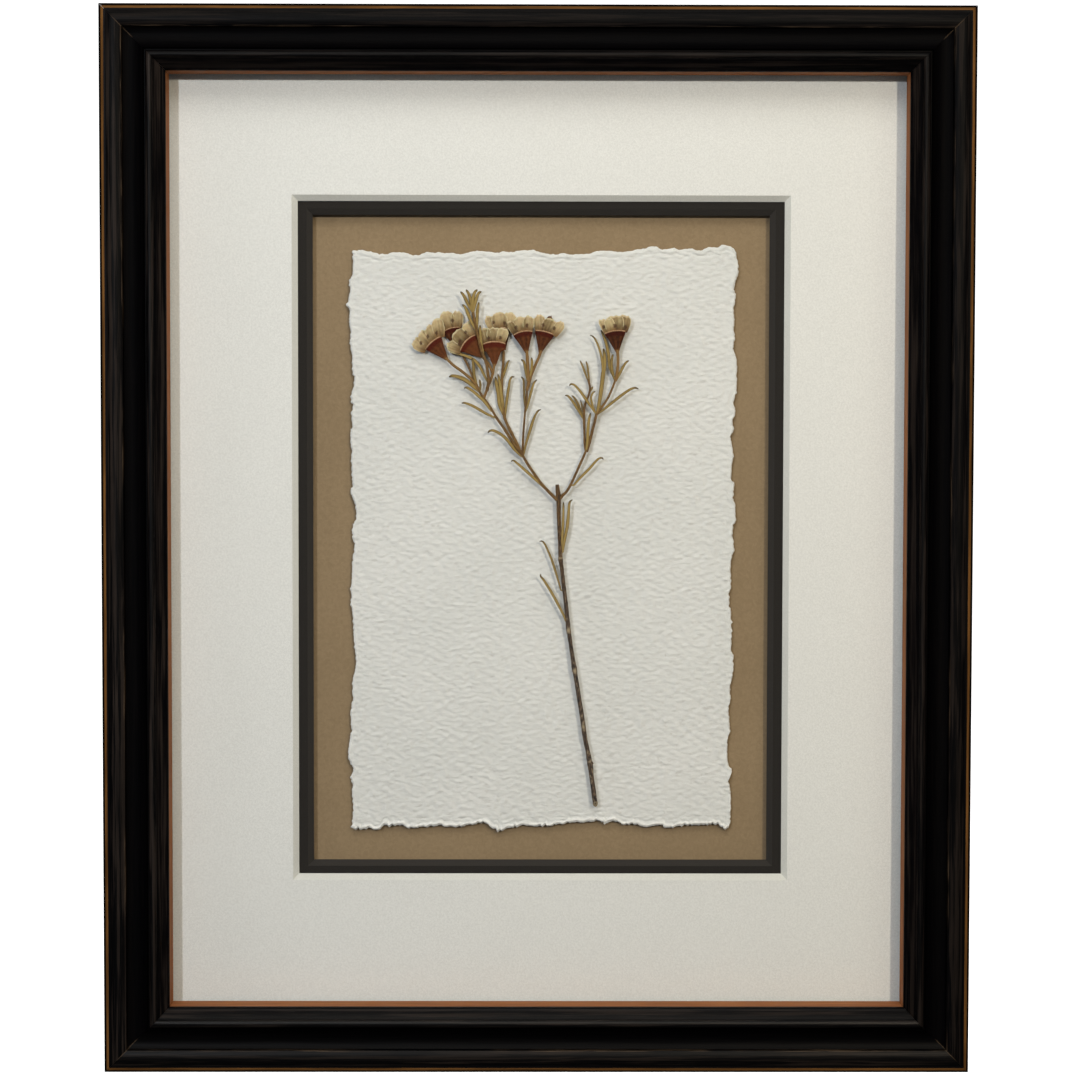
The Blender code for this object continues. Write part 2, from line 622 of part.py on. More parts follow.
def nail(name, across):
    """A small turned nail, its head on the hanger's ear and its shank in the rail."""
    head_rear, head_front = NAIL_HEAD
    profile = [
        (0.0, -head_rear), (NAIL_HEAD_RADIUS, -head_rear), (NAIL_HEAD_RADIUS, -head_front),
        (NAIL_RADIUS, -head_front), (NAIL_RADIUS, -NAIL_POINT + 1.0 * MM), (0.0, -NAIL_POINT),
    ]
    mesh = bpy.data.meshes.new(name)
    edges = [(index, index + 1) for index in range(len(profile) - 1)]
    mesh.from_pydata([(x, 0.0, z) for x, z in profile], edges, [])
    piece = link(name, mesh)
    screw = piece.modifiers.new("turn", "SCREW")
    screw.steps = 12
    screw.render_steps = 12
    screw.use_merge_vertices = True
    screw.merge_threshold = 0.00001
    piece = made_mesh(piece)
    piece.rotation_euler = (-math.pi / 2, 0.0, 0.0)
    piece.location = (across, BACK_Y, HANGER_MIDDLE)
    return finish(turned(piece), STEEL, 0.3, 1.0)


def on_sheet(px, py, height):
    """The point at a height over the frame's back that the photograph shows at a pixel."""
    view = (
        Matrix.Rotation(EYE_ROLL, 3, "Z")
        @ Matrix.Rotation(EYE_YAW, 3, "Y")
        @ Matrix.Rotation(EYE_PITCH, 3, "X")
    )
    sight = Vector(((px - PHOTO_MIDDLE) / FOCAL_PIXELS, (PHOTO_MIDDLE - py) / FOCAL_PIXELS, 1.0))
    across, up, forward = view.transposed() @ sight
    reach = (EYE_HEIGHT - height) / forward
    return Vector((
        EYE_ACROSS + across * reach,
        BACK_Y - height,
        FRAME_HEIGHT / 2 + EYE_UP + up * reach,
    ))


def over_paper(px, py, lift):
    """The point that the photograph shows at a pixel, at a lift over the paper in millimetres."""
    return on_sheet(px, py, PAPER[1] + lift * MM)


def deckle_sheet():
    """The handmade sheet, cut along its traced torn edge."""
    edge = PAPER_TOP + PAPER_RIGHT + PAPER_BOTTOM + PAPER_LEFT
    places = [on_sheet(px, py, PAPER[1]) for px, py in edge]
    sheet = outline_plate("deckle_paper", [[(p.x, p.z) for p in places]], PAPER[1] - PAPER[0])
    return finish(stand_up(sheet, *PAPER), SHEET_WHITE, 0.95)


def lifted(places, lifts):
    """Points along a traced line whose lift runs evenly from one end's to the other's."""
    flat = [over_paper(px, py, 0.0) for px, py in places]
    run = [0.0]
    for before, after in zip(flat, flat[1:]):
        run.append(run[-1] + (after - before).length)
    first, last = lifts
    return [
        over_paper(px, py, first + (last - first) * along / run[-1])
        for (px, py), along in zip(places, run)
    ]


def trimmed(points, distance):
    """The same line, begun a distance along it."""
    points = list(points)
    while (points[1] - points[0]).length <= distance:
        distance -= (points[1] - points[0]).length
        points.pop(0)
    points[0] = points[0].lerp(points[1], distance / (points[1] - points[0]).length)
    return points


def tube(name, points, radii, sides, depth=1.0):
    """A round or flattened stalk: depth is its thickness against its width."""
    curve = bpy.data.curves.new(name, "CURVE")
    curve.dimensions = "3D"
    curve.bevel_depth = 1.0
    curve.bevel_resolution = (sides - 4) // 2
    curve.use_fill_caps = True
    spline = curve.splines.new("POLY")
    spline.points.add(len(points) - 1)
    for point, place, radius in zip(spline.points, points, radii):
        point.co = (place.x, place.y / depth, place.z, 1.0)
        point.radius = radius
    piece = made_mesh(link(name, curve))
    piece.data.transform(Matrix.Diagonal((1.0, depth, 1.0, 1.0)))
    return piece


def nearest_on(axes, place):
    """The point nearest to a place on any of the given axis lines."""
    best = None
    for axis in axes:
        for start, end in zip(axis, axis[1:]):
            run = end - start
            share = max(0.0, min(1.0, (place - start).dot(run) / run.length_squared))
            point = start + run * share
            if best is None or (point - place).length < (best - place).length:
                best = point
    return best


def rooted(points, axes, turn):
    """A line, begun near the axis of the stalk that it grows from, each a little to another side."""
    root = nearest_on(axes, points[0])
    root += ROOT_NUDGE * Vector((math.cos(turn), 0.5 * math.sin(3 * turn), math.sin(turn)))
    if (root - points[0]).length < 3 * ROOT_NUDGE:
        return [root] + points[1:]
    return [root] + points


def stalk(name, points, width, sides):
    """A round stalk that thins a little towards its end."""
    last = len(points) - 1
    radii = [width * PIXEL / 2 * (1.05 - 0.15 * index / last) for index in range(len(points))]
    return tube(name, points, radii, sides)


def leaf(name, points, width):
    """A narrow needle leaf with a keel, widest past its middle and blunt at the tip."""
    last = len(points) - 1
    radii = []
    for index in range(len(points)):
        along = index / last
        radii.append(width * PIXEL / 2 * (0.42 + 0.62 * math.sin(math.pi * (0.08 + 0.8 * along))))
    radii[0] = width * PIXEL * 0.3
    radii[-1] = width * PIXEL * 0.16
    return tube(name, points, radii, 4, LEAF_DEPTH)


def grow(piece, shoot):
    """Joins a leaf or a side stalk to what it grows from, as one solid."""
    cut(piece, shoot, "UNION")
    joined = made_mesh(piece)
    bpy.data.objects.remove(shoot)
    return joined


def shoots(name, main, sides, setback, side_stalks, leaves, colour):
    """One twig of the sprig with all its leaves and side stalks."""
    places, width, lifts = main
    axis = lifted(places, lifts)
    if setback:
        axis = trimmed(axis, setback)
    axes = [axis]
    piece = stalk(name, axis, width, sides)
    for index, (places, width, lifts) in enumerate(side_stalks):
        points = rooted(lifted(places, lifts), axes, 2.4 * index)
        axes.append(points)
        piece = grow(piece, stalk("%s_stalk_%d" % (name, index), points, width, 6))
    for index, (places, width, lifts) in enumerate(leaves):
        points = rooted(lifted(places, lifts)[::-1], axes, 1.0 + 2.4 * index)
        piece = grow(piece, leaf("%s_leaf_%d" % (name, index), points, width))
    return finish(turned(piece, 50.0), colour, 0.7)


def cup_frame(flower):
    """Where a flower's cup stands: its foot, its axis, its across direction and its sizes."""
    foot_at, rim_at, _, lift = flower
    foot, left, top, right = [over_paper(*place, lift) for place in (foot_at, *rim_at)]
    chord_middle = (left + right) / 2
    axis = (chord_middle - foot).normalized()
    foot = foot + axis * CUP_GAP
    across = axis.cross(Vector((0.0, 1.0, 0.0)))
    half_width = abs((right - left).dot(across)) / 2
    bow = max(0.2 * MM, (top - chord_middle).dot(axis))
    return foot, axis, across, half_width, (chord_middle - foot).length, bow


def cup(name, flower):
    """A flower's cup: turned, then pressed flat, its rim bowed outward."""
    foot, axis, across, half_width, length, bow = cup_frame(flower)
    profile = [
        (0.0, length), (half_width * 0.96, length), (half_width, length - 0.25 * MM),
        (half_width * 0.8, length * 0.62), (half_width * 0.42, length * 0.22),
        (0.36 * MM, 0.05 * MM), (0.0, 0.0),
    ]
    mesh = bpy.data.meshes.new(name)
    edges = [(index, index + 1) for index in range(len(profile) - 1)]
    mesh.from_pydata([(x, 0.0, z) for x, z in profile], edges, [])
    piece = link(name, mesh)
    screw = piece.modifiers.new("turn", "SCREW")
    screw.steps = 14
    screw.render_steps = 14
    screw.use_merge_vertices = True
    screw.merge_threshold = 0.00001
    piece = made_mesh(piece)
    for vertex in piece.data.vertices:
        share = vertex.co.x / half_width
        pressed = 0.55 + 0.45 * vertex.co.z / length
        vertex.co.y *= CUP_THICKNESS / 2 / half_width * min(1.0, pressed)
        vertex.co.z += bow * (1.0 - share * share) * (vertex.co.z / length) ** 2
    turn = Matrix((across, across.cross(axis) * -1, axis)).transposed()
    piece.matrix_world = Matrix.Translation(foot) @ turn.to_4x4()
    return finish(turned(piece, 60.0), CUP_RED, 0.55)


def petal_crown(name, flower):
    """A flower's petals: a lobed fan that stands beyond the cup's rim."""
    _, rim_at, tips_at, lift = flower
    foot, axis, across, half_width, length, bow = cup_frame(flower)
    inner = []
    for step in range(-3, 4):
        share = step / 3
        rise = length + bow * (1.0 - share * share) + PETAL_GAP
        inner.append(foot + across * (half_width * share * 0.94) + axis * rise)
    left = over_paper(*rim_at[0], lift)
    if (inner[0] - left).length > (inner[-1] - left).length:
        inner.reverse()
    tips = [over_paper(*place, lift) for place in tips_at]
    outer = []
    for index, tip in enumerate(tips):
        before = tips[index - 1] if index else inner[0]
        after = tips[index + 1] if index + 1 < len(tips) else inner[-1]
        back = (foot - tip).normalized()
        if index:
            outer.append(tip.lerp(before, 0.5) + back * 0.45 * MM)
        outer.append(tip.lerp(before, 0.24) + back * 0.1 * MM)
        outer.append(tip)
        outer.append(tip.lerp(after, 0.24) + back * 0.1 * MM)
    outline = [(p.x, p.z) for p in inner + outer[::-1]]
    height = PAPER[1] + lift * MM
    piece = outline_plate(name, [outline], PETAL_THICKNESS)
    return finish(stand_up(piece, height, height), PETAL_CREAM, 0.8)


clear_scene()
parts = new_collection("pressed_flower_frame")
cutters = new_collection("cutters")
whole = bpy.data.objects.new("frame_origin", None)
parts.objects.link(whole)

half_frame = FRAME_WIDTH / 2
rail_top = rail("rail_top", FRAME_WIDTH, (0, 0, -1), (0.0, FRAME_HEIGHT))
rail("rail_bottom", FRAME_WIDTH, (0, 0, 1), (0.0, 0.0))
rail("rail_left", FRAME_HEIGHT, (1, 0, 0), (-half_frame, FRAME_HEIGHT / 2))
rail("rail_right", FRAME_HEIGHT, (-1, 0, 0), (half_frame, FRAME_HEIGHT / 2))
for pilot_hole in nail_holes("pilot_hole", -1 * MM, HOLE_DEPTH):
    cut(rail_top, pilot_hole)

centre = (0.0, FRAME_HEIGHT / 2)
finish(slab("glass_pane", BOARD_WIDTH, BOARD_HEIGHT, GLASS, centre), GLASS_TINT, 0.02, clear=True)
window_mat("white_mat", WHITE_MAT, WHITE_WINDOW_FRONT, WHITE_WINDOW_REAR, MAT_WHITE)
window_mat("dark_mat", DARK_MAT, DARK_WINDOW_FRONT, DARK_WINDOW_REAR, MAT_DARK)
spacer_strips()
finish(slab("tan_board", BOARD_WIDTH, BOARD_HEIGHT, TAN_BOARD, centre), TAN, 0.9)
finish(slab("paper_lift", *LIFT_SIZE, LIFT, centre), MAT_WHITE, 0.9)
deckle_sheet()
finish(slab("backing_board", BOARD_WIDTH, BOARD_HEIGHT, BACKING, centre), HARDBOARD, 0.8)
fixing_tabs()
sawtooth_hanger()
nail("hanger_nail_left", -NAIL_SPACING / 2)
nail("hanger_nail_right", NAIL_SPACING / 2)

shoots("main_stem", MAIN_STEM, 8, 0.0, (), MAIN_LEAVES, BARK)
shoots("left_branch", LEFT_BRANCH, 6, BRANCH_SETBACK, (), LEFT_BRANCH_LEAVES, TWIG_BROWN)
shoots("mid_twig", MID_TWIG, 6, TWIG_SETBACK, MID_TWIG_STALKS, MID_TWIG_LEAVES, TWIG_BROWN)
shoots("left_twig_1", LEFT_TWIG_1, 6, TWIG_SETBACK, LEFT_TWIG_1_STALKS, LEFT_TWIG_1_LEAVES, TWIG_BROWN)
shoots("left_twig_2", LEFT_TWIG_2, 6, TWIG_SETBACK, (), LEFT_TWIG_2_LEAVES, TWIG_BROWN)
shoots("top_twig", TOP_TWIG, 6, 0.0, (), TOP_TWIG_LEAVES, TWIG_BROWN)
shoots("right_branch", RIGHT_BRANCH, 6, BRANCH_SETBACK, (), RIGHT_BRANCH_LEAVES, TWIG_BROWN)
shoots("right_twig_left", RIGHT_TWIG_LEFT, 6, TWIG_SETBACK, (), RIGHT_TWIG_LEFT_LEAVES, TWIG_BROWN)
shoots("right_twig_right", RIGHT_TWIG_RIGHT, 6, TWIG_SETBACK, RIGHT_TWIG_RIGHT_STALKS,
       RIGHT_TWIG_RIGHT_LEAVES, TWIG_BROWN)
for number, flower_traced in enumerate(FLOWERS, start=1):
    cup("flower_cup_%d" % number, flower_traced)
    petal_crown("flower_petals_%d" % number, flower_traced)
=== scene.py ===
import math

import bpy
import numpy as np
from mathutils import Matrix, Vector, noise


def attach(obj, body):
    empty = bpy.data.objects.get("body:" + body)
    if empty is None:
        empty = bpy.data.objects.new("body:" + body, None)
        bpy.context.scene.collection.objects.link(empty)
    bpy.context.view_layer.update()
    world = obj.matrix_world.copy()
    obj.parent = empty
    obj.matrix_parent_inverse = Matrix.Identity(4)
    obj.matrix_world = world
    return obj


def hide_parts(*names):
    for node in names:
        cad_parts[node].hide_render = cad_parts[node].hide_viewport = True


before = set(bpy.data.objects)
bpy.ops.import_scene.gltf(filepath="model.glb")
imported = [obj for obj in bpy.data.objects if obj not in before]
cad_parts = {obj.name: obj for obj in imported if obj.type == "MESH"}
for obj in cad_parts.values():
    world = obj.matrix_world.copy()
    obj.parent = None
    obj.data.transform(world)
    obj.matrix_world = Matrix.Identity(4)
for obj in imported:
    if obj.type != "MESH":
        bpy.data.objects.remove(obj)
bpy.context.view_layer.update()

mm = 0.001
frameSize = {"width": 231.3 * mm, "height": 283.7 * mm, "backY": 12.1 * mm}
print("frame loaded:", len(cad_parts), "nodes")

# The photograph's viewpoint, from the middle of the frame's back, and its lens.
eye = {
    "across": -3.63 * mm,
    "up": 33.04 * mm,
    "distance": 722.8 * mm,
    "pitch": math.radians(-2.637),
    "yaw": math.radians(-0.349),
    "roll": math.radians(-0.086),
    "focalPixels": 2639.1,
    "photoMiddle": 540.0,
}
pixel = 0.266 * mm
eyeTurn = np.array(
    Matrix.Rotation(eye["roll"], 3, "Z")
    @ Matrix.Rotation(eye["yaw"], 3, "Y")
    @ Matrix.Rotation(eye["pitch"], 3, "X")
)


def onSheet(places, heights):
    # photo pixels, and heights over the frame's back, to points of the model
    places = np.asarray(places, float)
    heights = np.broadcast_to(np.asarray(heights, float), len(places))
    sight = np.column_stack([
        (places[:, 0] - eye["photoMiddle"]) / eye["focalPixels"],
        (eye["photoMiddle"] - places[:, 1]) / eye["focalPixels"],
        np.ones(len(places)),
    ]) @ eyeTurn
    reach = (eye["distance"] - heights) / sight[:, 2]
    return np.column_stack([
        eye["across"] + sight[:, 0] * reach,
        frameSize["backY"] - heights,
        frameSize["height"] / 2 + eye["up"] + sight[:, 1] * reach,
    ])


def linear(colour):
    # a colour of 0 to 255 a channel, as the shaders take it
    values = np.asarray(colour, float) / 255
    curve = ((values + 0.055) / 1.055) ** 2.4
    return tuple(np.where(values <= 0.04045, values / 12.92, curve)) + (1.0,)


# Shader arithmetic.

class Wire:
    # wraps a socket, so that shader maths reads as plain Python
    def __init__(self, tree, socket=None):
        self.tree = tree
        self.socket = socket

    def node(self, kind, settings=(), sockets=(), out=0):
        made = self.tree.nodes.new("ShaderNode" + kind)
        for name, value in dict(settings).items():
            setattr(made, name, value)
        for name, value in dict(sockets).items():
            if isinstance(value, Wire):
                self.tree.links.new(value.socket, made.inputs[name])
            else:
                made.inputs[name].default_value = value
        return Wire(self.tree, made.outputs[out])

    def maths(self, operation, *values, clamp=False):
        settings = {"operation": operation, "use_clamp": clamp}
        return self.node("Math", settings, dict(enumerate(values)))

    def __add__(self, other):
        return self.maths("ADD", self, other)

    def __sub__(self, other):
        return self.maths("SUBTRACT", self, other)

    def __rsub__(self, other):
        return self.maths("SUBTRACT", other, self)

    def __mul__(self, other):
        return self.maths("MULTIPLY", self, other)

    def __pow__(self, other):
        return self.maths("POWER", self, other)

    __radd__ = __add__
    __rmul__ = __mul__

    def between(self, low, high):
        # 0 below low, 1 above high, smooth in between; low may be the larger
        sockets = {"Value": self, 1: low, 2: high}
        return self.node("MapRange", {"interpolation_type": "SMOOTHSTEP"}, sockets)

    def held(self):
        return self.maths("ADD", self, 0.0, clamp=True)

    def stretched(self, amounts):
        return self.node("VectorMath", {"operation": "MULTIPLY"}, {0: self, 1: amounts})

    def noise(self, scale, detail=3.0, roughness=0.55, distortion=0.0):
        sockets = {
            "Vector": self, "Scale": scale, "Detail": detail,
            "Roughness": roughness, "Distortion": distortion,
        }
        return self.node("TexNoise", {"normalize": True}, sockets)

    def mixed(self, first, second):
        # self is the factor between two colours
        settings = {"data_type": "RGBA", "clamp_factor": True}
        colours = [value if isinstance(value, Wire) else linear(value) for value in (first, second)]
        return self.node("Mix", settings, {0: self, 6: colours[0], 7: colours[1]}, out=2)

    def bump(self, strength, distance, normal=None):
        sockets = {"Height": self, "Strength": strength, "Distance": distance}
        if normal:
            sockets["Normal"] = normal
        return self.node("Bump", (), sockets)


def newMaterial(name):
    material = bpy.data.materials.new(name)
    material.use_nodes = True
    tree = material.node_tree
    shader = tree.nodes["Principled BSDF"]
    return material, Wire(tree), shader


def plug(wire, shader, **sockets):
    # links or sets the sockets of a shader, spaces written as underscores
    for name, value in sockets.items():
        socket = shader.inputs[name.replace("_", " ")]
        if isinstance(value, Wire):
            wire.tree.links.new(value.socket, socket)
        else:
            socket.default_value = value


def objectPlaces(wire):
    # each point's own place on the object, in metres
    return wire.node("TexCoord", (), (), out=3)


def painted(wire, *names):
    # the values that Heap.add gave to the points
    read = [wire.node("Attribute", {"attribute_name": name}, (), out=2) for name in names]
    return read if len(read) > 1 else read[0]


# Mesh helpers.

def smoothLine(points, per):
    # a Catmull-Rom line through given points
    points = np.asarray(points, float)
    padded = np.vstack([2 * points[0] - points[1], points, 2 * points[-1] - points[-2]])
    steps = np.linspace(0, 1, per, endpoint=False)[:, None]
    out = []
    for a, b, c, d in zip(padded, padded[1:], padded[2:], padded[3:]):
        out.append(0.5 * (2 * b + (c - a) * steps + (2 * a - 5 * b + 4 * c - d) * steps ** 2
                          + (3 * b - a - 3 * c + d) * steps ** 3))
    out.append(points[-1:])
    return np.vstack(out)


def lengthAlong(line):
    steps = np.linalg.norm(np.diff(line, axis=0), axis=1)
    return np.concatenate([[0.0], np.cumsum(steps)])


def along(line, shares):
    # points at shares of the line's length
    run = lengthAlong(line)
    return np.column_stack([np.interp(shares * run[-1], run, values) for values in line.T])


def evenly(line, count):
    return along(line, np.linspace(0, 1, count))


class Heap:
    # gathers the surfaces of one piece: points, faces and painted values
    def __init__(self):
        self.points = []
        self.faces = []
        self.values = {}
        self.count = 0

    def add(self, points, faces, **values):
        points = np.asarray(points, float)
        self.faces += [tuple(index + self.count for index in face) for face in faces]
        for name, value in values.items():
            have = self.values.setdefault(name, [])
            have.append(np.zeros(self.count - sum(len(part) for part in have)))
            have.append(np.broadcast_to(value, len(points)))
        self.points.append(points)
        self.count += len(points)

    def build(self, name, material, node, sharp=None):
        mesh = bpy.data.meshes.new(name)
        mesh.from_pydata(np.vstack(self.points).tolist(), [], self.faces)
        for key, have in self.values.items():
            have.append(np.zeros(self.count - sum(len(part) for part in have)))
            mesh.attributes.new(key, "FLOAT", "POINT").data.foreach_set("value", np.concatenate(have))
        mesh.shade_smooth()
        if sharp:
            mesh.set_sharp_from_angle(angle=math.radians(sharp))
        piece = bpy.data.objects.new(name, mesh)
        bpy.context.scene.collection.objects.link(piece)
        mesh.materials.append(material)
        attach(piece, "root")
        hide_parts(node)
        return piece


def gridFaces(rows, columns, loop=False):
    # four-sided faces between rows of points; a loop joins each row's ends
    faces = []
    for row in range(rows - 1):
        for column in range(columns if loop else columns - 1):
            after = (column + 1) % columns
            low, high = row * columns, (row + 1) * columns
            faces.append((low + column, low + after, high + after, high + column))
    return faces


def rimOf(rows, columns):
    # the outer points of a grid, all the way round
    right = [row * columns + columns - 1 for row in range(1, rows)]
    bottom = [(rows - 1) * columns + column for column in range(columns - 2, -1, -1)]
    left = [row * columns for row in range(rows - 2, 0, -1)]
    return list(range(columns)) + right + bottom + left


def sweep(line, widths, depths, section):
    # carries a section, written as (across, towards the viewer), along a line
    tangent = np.gradient(line, axis=0)
    tangent /= np.linalg.norm(tangent, axis=1)[:, None]
    across = np.cross(tangent, (0.0, -1.0, 0.0))
    across /= np.linalg.norm(across, axis=1)[:, None]
    toward = np.cross(across, tangent)
    section = np.asarray(section)
    points = (
        line[:, None, :]
        + across[:, None, :] * (section[None, :, 0] * widths[:, None])[:, :, None]
        + toward[:, None, :] * (section[None, :, 1] * depths[:, None])[:, :, None]
    )
    rows, columns = len(line), len(section)
    faces = gridFaces(rows, columns, loop=True)
    faces.append(tuple(range(columns - 1, -1, -1)))
    faces.append(tuple(range((rows - 1) * columns, rows * columns)))
    return points.reshape(-1, 3), faces


def ring(sides):
    turn = np.linspace(0, 2 * np.pi, sides, endpoint=False)
    return np.column_stack([np.cos(turn), np.sin(turn)])


def roughness(points, scale, seed):
    # soft noise of about -1 to 1 at points given in metres
    shift = Vector((seed, seed, seed))
    return np.array([noise.noise(Vector(point) * scale + shift) for point in points])


# Finishes.

def mitreLine(wire, where):
    # 1 within a hair of the frame's diagonal joints
    sides = [wire.node("SeparateXYZ", (), {0: where}, out=axis) for axis in (0, 2)]
    fromSide = frameSize["width"] / 2 - wire.maths("ABSOLUTE", sides[0])
    fromEnd = frameSize["height"] / 2 - wire.maths("ABSOLUTE", sides[1] - frameSize["height"] / 2)
    return wire.maths("ABSOLUTE", fromSide - fromEnd).between(0.26 * mm, 0.06 * mm)


# where the parts of the moulding start and end, in mm from the rail's outer edge, each with a soft step
mouldingZones = {
    "outer": ((0.68, 0.82), (1.5, 1.35)),
    "band": ((1.9, 2.3), (6.3, 5.9)),
    "arris": ((5.75, 5.95), (6.3, 6.15)),
    "cove": ((6.2, 6.5), (12.3, 11.9)),
    "crest": ((12.3, 12.6), (14.7, 14.3)),
    "slope": ((14.6, 15.2), (17.1, 16.7)),
    "openMitre": ((3.0, 5.0), (9.0, 8.0)),
}


def paintFinish(name, alongX, wear, wax, waxedCove):
    # black paint over a brown undercoat, rubbed through in streaks that run along the rail, and waxed
    material, wire, shader = newMaterial(name)
    where = objectPlaces(wire)
    reach, rise = painted(wire, "reach", "rise")

    def drawnOut(along, fine, detail, rough=0.6):
        amounts = (along, fine, fine) if alongX else (fine, fine, along)
        return where.stretched(amounts).noise(1.0, detail, rough)

    grain = drawnOut(45, 1500, 4.0, 0.65)
    hair = drawnOut(95, 4200, 3.0)
    streak = drawnOut(24, 980, 3.0)
    patch = where.noise(38.0, 3.0, 0.6)
    zone = {}
    for part, (start, end) in mouldingZones.items():
        zone[part] = reach.between(*start) * reach.between(*end)
    wall = reach.between(17.3, 17.39) * rise.between(22.1, 21.5)
    back = rise.between(0.5, 0.1)
    outside = reach.between(0.3, 0.05)
    worn = (streak.between(0.47, 0.6) * 0.8 + hair.between(0.5, 0.66) * 0.35) * (0.35 + patch)
    exposed = zone["band"] + zone["slope"] * 1.1 + zone["crest"] * 1.1 + outside * 0.6 + 0.04
    worn = (worn * wear * exposed).held()
    scratch = zone["arris"] * patch.between(0.45, 0.65) * hair.between(0.45, 0.6) * 0.6
    scratch = (scratch + mitreLine(wire, where) * zone["openMitre"] * 0.55).held()
    bead = (zone["outer"] * (0.55 + hair * 0.8)).held()
    black = hair.between(0.3, 0.75).mixed((1, 1, 2), (4, 3, 4))
    coat = worn.mixed(black, (45, 38, 34))
    coat = scratch.mixed(coat, (92, 76, 60))
    coat = bead.mixed(coat, grain.between(0.3, 0.7).mixed((76, 50, 24), (122, 84, 44)))
    coat = wall.mixed(coat, grain.between(0.25, 0.75).mixed((124, 74, 42), (170, 112, 68)))
    coat = back.mixed(coat, hair.between(0.2, 0.8).mixed((70, 50, 34), (112, 84, 58)))
    dents = (grain * 0.5 + hair * 0.35).bump(0.5, 0.00015)
    gloss = (0.55 + worn * 0.15 + hair * 0.06).held()
    sheen = ((1 - zone["cove"] * (1 - waxedCove) - wall * 0.8 - bead * 0.8 + zone["crest"]) * wax).held()
    plug(wire, shader, Base_Color=coat, Roughness=gloss, Coat_Weight=sheen, Normal=dents,
         Specular_IOR_Level=0.03, Coat_Roughness=0.42)
    return material


def matFinish(name, face, bevel):
    # mat board: faint mottled tooth, with its own colour on the bevel: off-white on the white board, and
    # on the charcoal board a colour lighter than its face, painted light against the bevel's shade
    material, wire, shader = newMaterial(name)
    where = objectPlaces(wire)
    grain = where.noise(2000.0, 3.0, 0.65)
    cloud = where.noise(45.0, 2.0, 0.5)
    tint = (grain * 0.93 + cloud * 0.07).between(0.27, 0.73)
    low = tuple(value * 0.94 for value in face)
    core = painted(wire, "core")
    lowBevel = tuple(value * 0.96 for value in bevel)
    colour = core.mixed(tint.mixed(low, face), tint.mixed(lowBevel, bevel))
    plug(wire, shader, Base_Color=colour, Roughness=0.9, Normal=grain.bump(0.5, 0.00007),
         Specular_IOR_Level=0.2)
    return material


def boardFinish(name, low, high, scale=600.0):
    # uncoated board with short fibres
    material, wire, shader = newMaterial(name)
    where = objectPlaces(wire)
    fleck = where.noise(scale, 5.0, 0.65, 0.6)
    cloud = where.noise(30.0, 2.0, 0.5)
    tint = (fleck * 0.7 + cloud * 0.3).between(0.32, 0.68)
    plug(wire, shader, Base_Color=tint.mixed(low, high), Roughness=0.9, Normal=fleck.bump(0.4, 0.00012),
         Specular_IOR_Level=0.2)
    return material


def steelFinish(name, low, high):
    # brushed and a little stained
    material, wire, shader = newMaterial(name)
    where = objectPlaces(wire)
    brushed = where.stretched((1.0, 1.0, 9.0)).noise(500.0, 4.0, 0.6)
    stain = where.noise(160.0, 3.0, 0.6)
    colour = (brushed * 0.5 + stain * 0.5).between(0.3, 0.7).mixed(low, high)
    plug(wire, shader, Base_Color=colour, Metallic=1.0, Roughness=0.28 + brushed * 0.25,
         Normal=brushed.bump(0.2, 0.00005))
    return material


def paneFinish():
    # clear picture glass: what is behind it shows through, with a faint reflection
    material, wire, shader = newMaterial("pane glass")
    where = objectPlaces(wire)
    film = where.noise(25.0, 3.0, 0.6).between(0.45, 0.75)
    facing = wire.node("LayerWeight", (), {"Blend": 0.5}, out=1)
    sheen = wire.node("BsdfGlossy", (), {"Color": (1.0, 1.0, 1.0, 1.0), "Roughness": 0.03 + film * 0.02})
    clear = wire.node("BsdfTransparent", (), {"Color": (0.995, 1.0, 0.995, 1.0)})
    factor = 0.012 + facing ** 5.0 * 0.6 + film * 0.002
    both = wire.node("MixShader", (), {0: factor, 1: clear, 2: sheen})
    output = material.node_tree.nodes["Material Output"]
    wire.tree.links.new(both.socket, output.inputs["Surface"])
    material.node_tree.nodes.remove(shader)
    return material


def paperFinish():
    # handmade cotton paper: felt marks across it, greyer in their hollows as painted shade, and painted
    # paler along its torn edges as a highlight
    material, wire, shader = newMaterial("handmade paper")
    where = objectPlaces(wire)
    felt = where.stretched((620, 620, 1500)).noise(1.0, 3.0, 0.6, 0.5)
    fibre = where.stretched((1.0, 1.0, 1.8)).noise(1500.0, 5.0, 0.65, 0.5)
    cloud = where.noise(32.0, 3.0, 0.55)
    speck = where.noise(700.0, 2.0, 0.5).between(0.74, 0.8)
    edge = painted(wire, "edge")
    colour = (fibre * 0.5 + cloud * 0.5).between(0.3, 0.7).mixed((216, 217, 217), (224, 224, 224))
    # greyer where the felt sinks: painted shade in the felt marks' hollows
    colour = felt.between(0.42, 0.3).mixed(colour, (210, 209, 208))
    # painted highlight: near-white along the torn edges, most at the bottom edge, which faces up into the
    # light
    colour = edge.mixed(colour, (248, 247, 246))
    colour = (speck * 0.35).mixed(colour, (176, 170, 156))
    normal = fibre.bump(0.5, 0.0001, felt.bump(0.8, 0.0002))
    plug(wire, shader, Base_Color=colour, Roughness=0.95, Normal=normal, Specular_IOR_Level=0.15)
    return material


def leafTint(wire, where):
    # olive needle leaves with dark hooked tips, darker along their edges and lighter down their middles:
    # partly their own colour, partly painted shade and highlight of their rolled form
    along, side, tone = painted(wire, "along", "side", "tone")
    mottle = where.noise(900.0, 4.0, 0.6)
    green = (tone * 0.6 + mottle * 0.4).between(0.25, 0.75).mixed((102, 82, 46), (156, 132, 77))
    # painted shade towards the rolled edges and painted highlight down the middle, over the leaf's own
    # darker margins
    green = (side.between(0.55, 1.0) * 0.7).mixed(green, (72, 53, 32))
    green = (side.between(0.3, 0.0) * 0.35).mixed(green, (164, 142, 88))
    return (along.between(0.86, 1.0) * 0.85).mixed(green, (52, 40, 32)), mottle, tone


